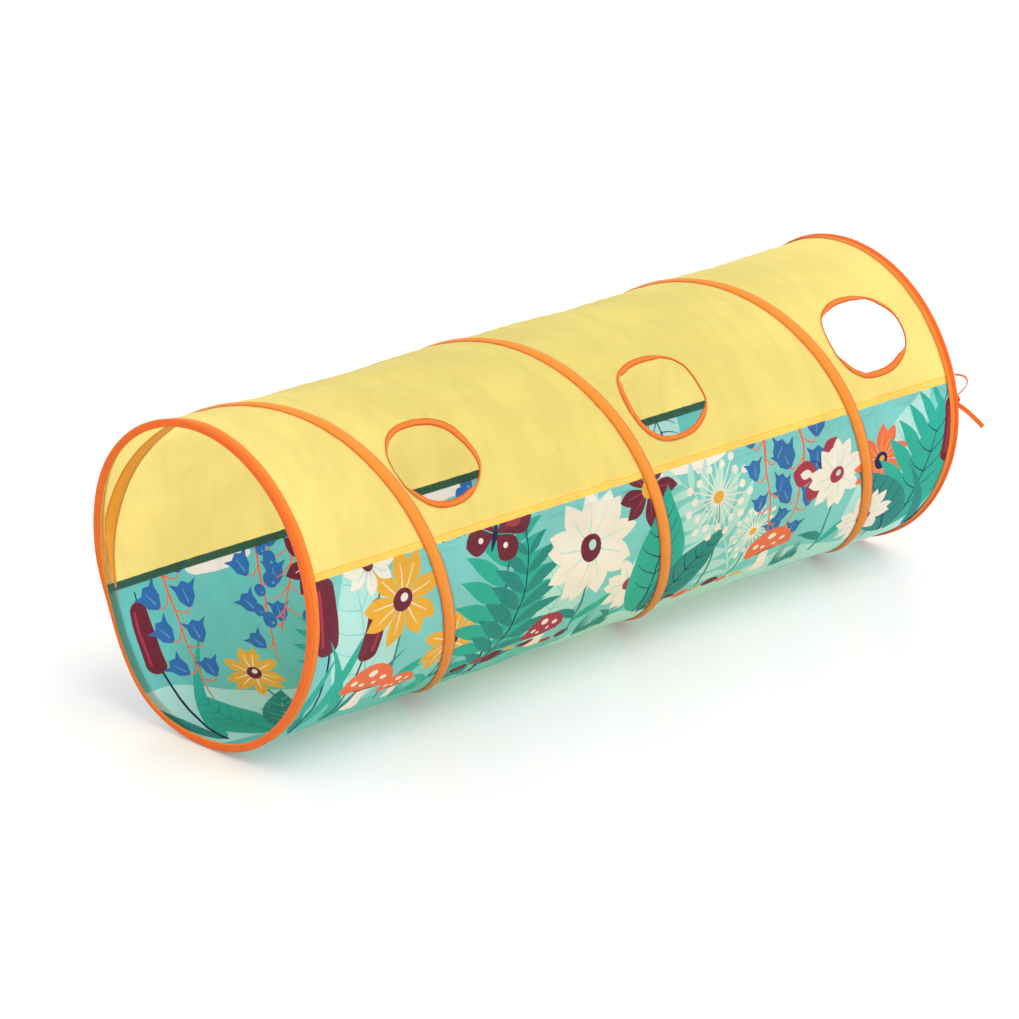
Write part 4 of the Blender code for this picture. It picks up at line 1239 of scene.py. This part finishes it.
def floor():
    """A pale floor that reads as white where the camera sees it bare, and keeps the tunnel's shadow."""
    work = bmesh.new()
    bmesh.ops.create_grid(work, x_segments=1, y_segments=1, size=40)
    mesh = bpy.data.meshes.new("floor")
    work.to_mesh(mesh)
    work.free()
    made, nodes = new_material("pale floor")
    path = nodes.add("LightPath").outputs
    seen = nodes.math("MAXIMUM", path["Is Camera Ray"],
                      nodes.math("MAXIMUM", path["Is Glossy Ray"], path["Is Transmission Ray"]))
    plain = nodes.add("BsdfDiffuse", {"Color": (*FLOOR, 1)})
    white = nodes.add("BsdfPrincipled", {"Base Color": (*FLOOR_SEEN, 1), "Roughness": 0.32})
    glare = nodes.add("Emission", {"Color": (1, 1, 1, 1), "Strength": 1.0})
    bright = nodes.add("MixShader", {0: FLOOR_GLARE, 1: white.outputs[0], 2: glare.outputs[0]})
    nodes.surface(nodes.add("MixShader", {0: seen, 1: plain.outputs[0], 2: bright.outputs[0]}))
    mesh.materials.append(made)
    ground = bpy.data.objects.new("floor", mesh)
    ground.location.z = -0.2 * MM
    bpy.context.scene.collection.objects.link(ground)


def daylight():
    """Even white light from all round, with a soft sun from over the camera's right shoulder."""
    world = bpy.data.worlds.new("soft white")
    world.use_nodes = True
    sky = world.node_tree.nodes["Background"].inputs
    sky["Color"].default_value = (1, 1, 1, 1)
    sky["Strength"].default_value = SKY_STRENGTH
    bpy.context.scene.world = world
    sun = bpy.data.lights.new("soft sun", "SUN")
    sun.energy = SUN_STRENGTH
    sun.angle = SUN_WIDTH
    light = bpy.data.objects.new("soft sun", sun)
    light.rotation_euler = Vector(TOWARDS_SUN).to_track_quat("Z", "Y").to_euler()
    bpy.context.scene.collection.objects.link(light)


def camera():
    data = bpy.data.cameras.new("camera")
    data.lens = CAMERA_LENS
    data.sensor_width = 36
    level = math.cos(CAMERA_ELEVATION)
    back = Vector((-math.sin(CAMERA_AZIMUTH) * level, -math.cos(CAMERA_AZIMUTH) * level,
                   math.sin(CAMERA_ELEVATION)))
    right = (-back).cross(Vector((0, 0, 1))).normalized()
    up = right.cross(-back)
    place = back * CAMERA_DISTANCE + right * CAMERA_ASIDE + up * CAMERA_RISE
    eye = bpy.data.objects.new("camera", data)
    eye.matrix_world = Matrix.Translation(Vector((0, 0, AXIS_HEIGHT)) + place * FITTED_RADIUS) @ (
        Matrix((right, up, back)).transposed().to_4x4())
    bpy.context.scene.collection.objects.link(eye)
    bpy.context.scene.camera = eye


def tapes():
    """All the tapes, and the sleeves under the rings' tapes. Gives the weave, which the cloth has too."""
    weave, stitches = weave_group(), stitch_group()
    row = COIL_TAPE_WIDTH / 2 - COIL_STITCHES_IN
    end_tape = tape_finish("end ring tape", weave, stitches, ORANGE, RING_TAPE[0][0] * MM, [RING_STITCHES],
                           PAINTED_SHADE_OVER_RING_WIRE, PAINTED_GLOW_INSIDE)
    turn_tape = tape_finish("coil tape", weave, stitches, COIL_ORANGE, COIL_TAPE_WIDTH / 2, [row, -row])
    inner_tape = tape_finish("inner coil tape", weave, stitches, AMBER_ORANGE, INNER_COIL_TAPE[1][0] * MM,
                             [INNER_COIL_STITCHES, -INNER_COIL_STITCHES], let_through=0.08)
    narrow_tape = tape_finish("peep hole tape", weave, stitches, HOLE_ORANGE, HOLE_TAPE_WIDTH / 2,
                              [HOLE_STITCHES], PAINTED_SHADE_INSIDE_HOLE)
    tie(tape_finish("tie tape", weave, stitches, RED_ORANGE, TIE_WIDTH / 2, [0]))
    pressed = steel("crimp sleeve", STEEL, 0.45)
    for end, mouth, inward, crimp in (("near", 0, 1, NEAR_CRIMP), ("far", LENGTH, -1, FAR_CRIMP)):
        body = f"{end}_end"
        ring_tape(f"{end}_ring_tape", mouth, inward, crimp, body, f"{end}_ring_binding", end_tape)
        crimp_sleeve(f"{end}_wire_sleeve", mouth, inward, crimp, body, f"{end}_crimp_sleeve", pressed)
    coil_tape("coil_tape_outside", COIL_TAPE, "coil_tape_outer", turn_tape, 1)
    coil_tape("coil_tape_inside", INNER_COIL_TAPE, "coil_tape_inner", inner_tape, -1)
    for number in range(len(HOLE_PLACES)):
        hole_tape(number, narrow_tape)
    return weave


def hole_outline(number):
    """Where the cloth is cut under a peep hole's tape: x, and the distance from the front seam."""
    turn = np.linspace(0, TURN, 160, endpoint=False)
    along, up = hole_middle(number)
    up = up - CLOTH_RADIUS * FRONT_SEAM
    reach = tape_reach(turn, number) - HOLE_CUT * tape_width(turn, number)
    return np.stack([along + reach * np.cos(turn), up + reach * np.sin(turn)], axis=1)


def main():
    camera()
    floor()
    daylight()
    bpy.context.scene.view_settings.view_transform = "Standard"

    groups = crinkle_group(), tapes(), allowance_group()
    # The strip, raw edge and turned-in tints are painted shade where the cloth lies double at the seams
    yellow = taffeta(
        "yellow taffeta", groups, crease_height=2.0 * MM, let_through=0.64, lost=0.32,
        filtered=(1.0, 0.985, 1.0), seam=(SEAM_STRIP, 2 * HALF_WIDTH), strip=(1.0, 0.75, 0.44),
        raw_edge_shade=(0.95, 0.72, 0.60), turned_in_shade=(1, 1, 1))
    printed = taffeta(
        "printed taffeta", groups, crease_height=1.4 * MM, let_through=0.62, lost=0.21,
        filtered=(0.96, 1.0, 1.0), seam=(ALLOWANCE, HALF_WIDTH), strip=(1.0, 1.0, 0.84),
        raw_edge_shade=(1, 1, 1), turned_in_shade=(0.34, 0.31, 0.31))
    holes = [hole_outline(number) for number in range(len(HOLE_PLACES))]
    cloth_half("upper_cloth", FRONT_SEAM, [], holes, YELLOW, yellow)
    shapes = [*laid_out(BACK_PRINT, -1), *laid_out(FRONT_PRINT, 1)]
    cloth_half("lower_cloth", FRONT_SEAM - TURN / 2, shapes, [], INKS["aqua"], printed)
    wire(steel("spring wire", STEEL, 0.35))


main()
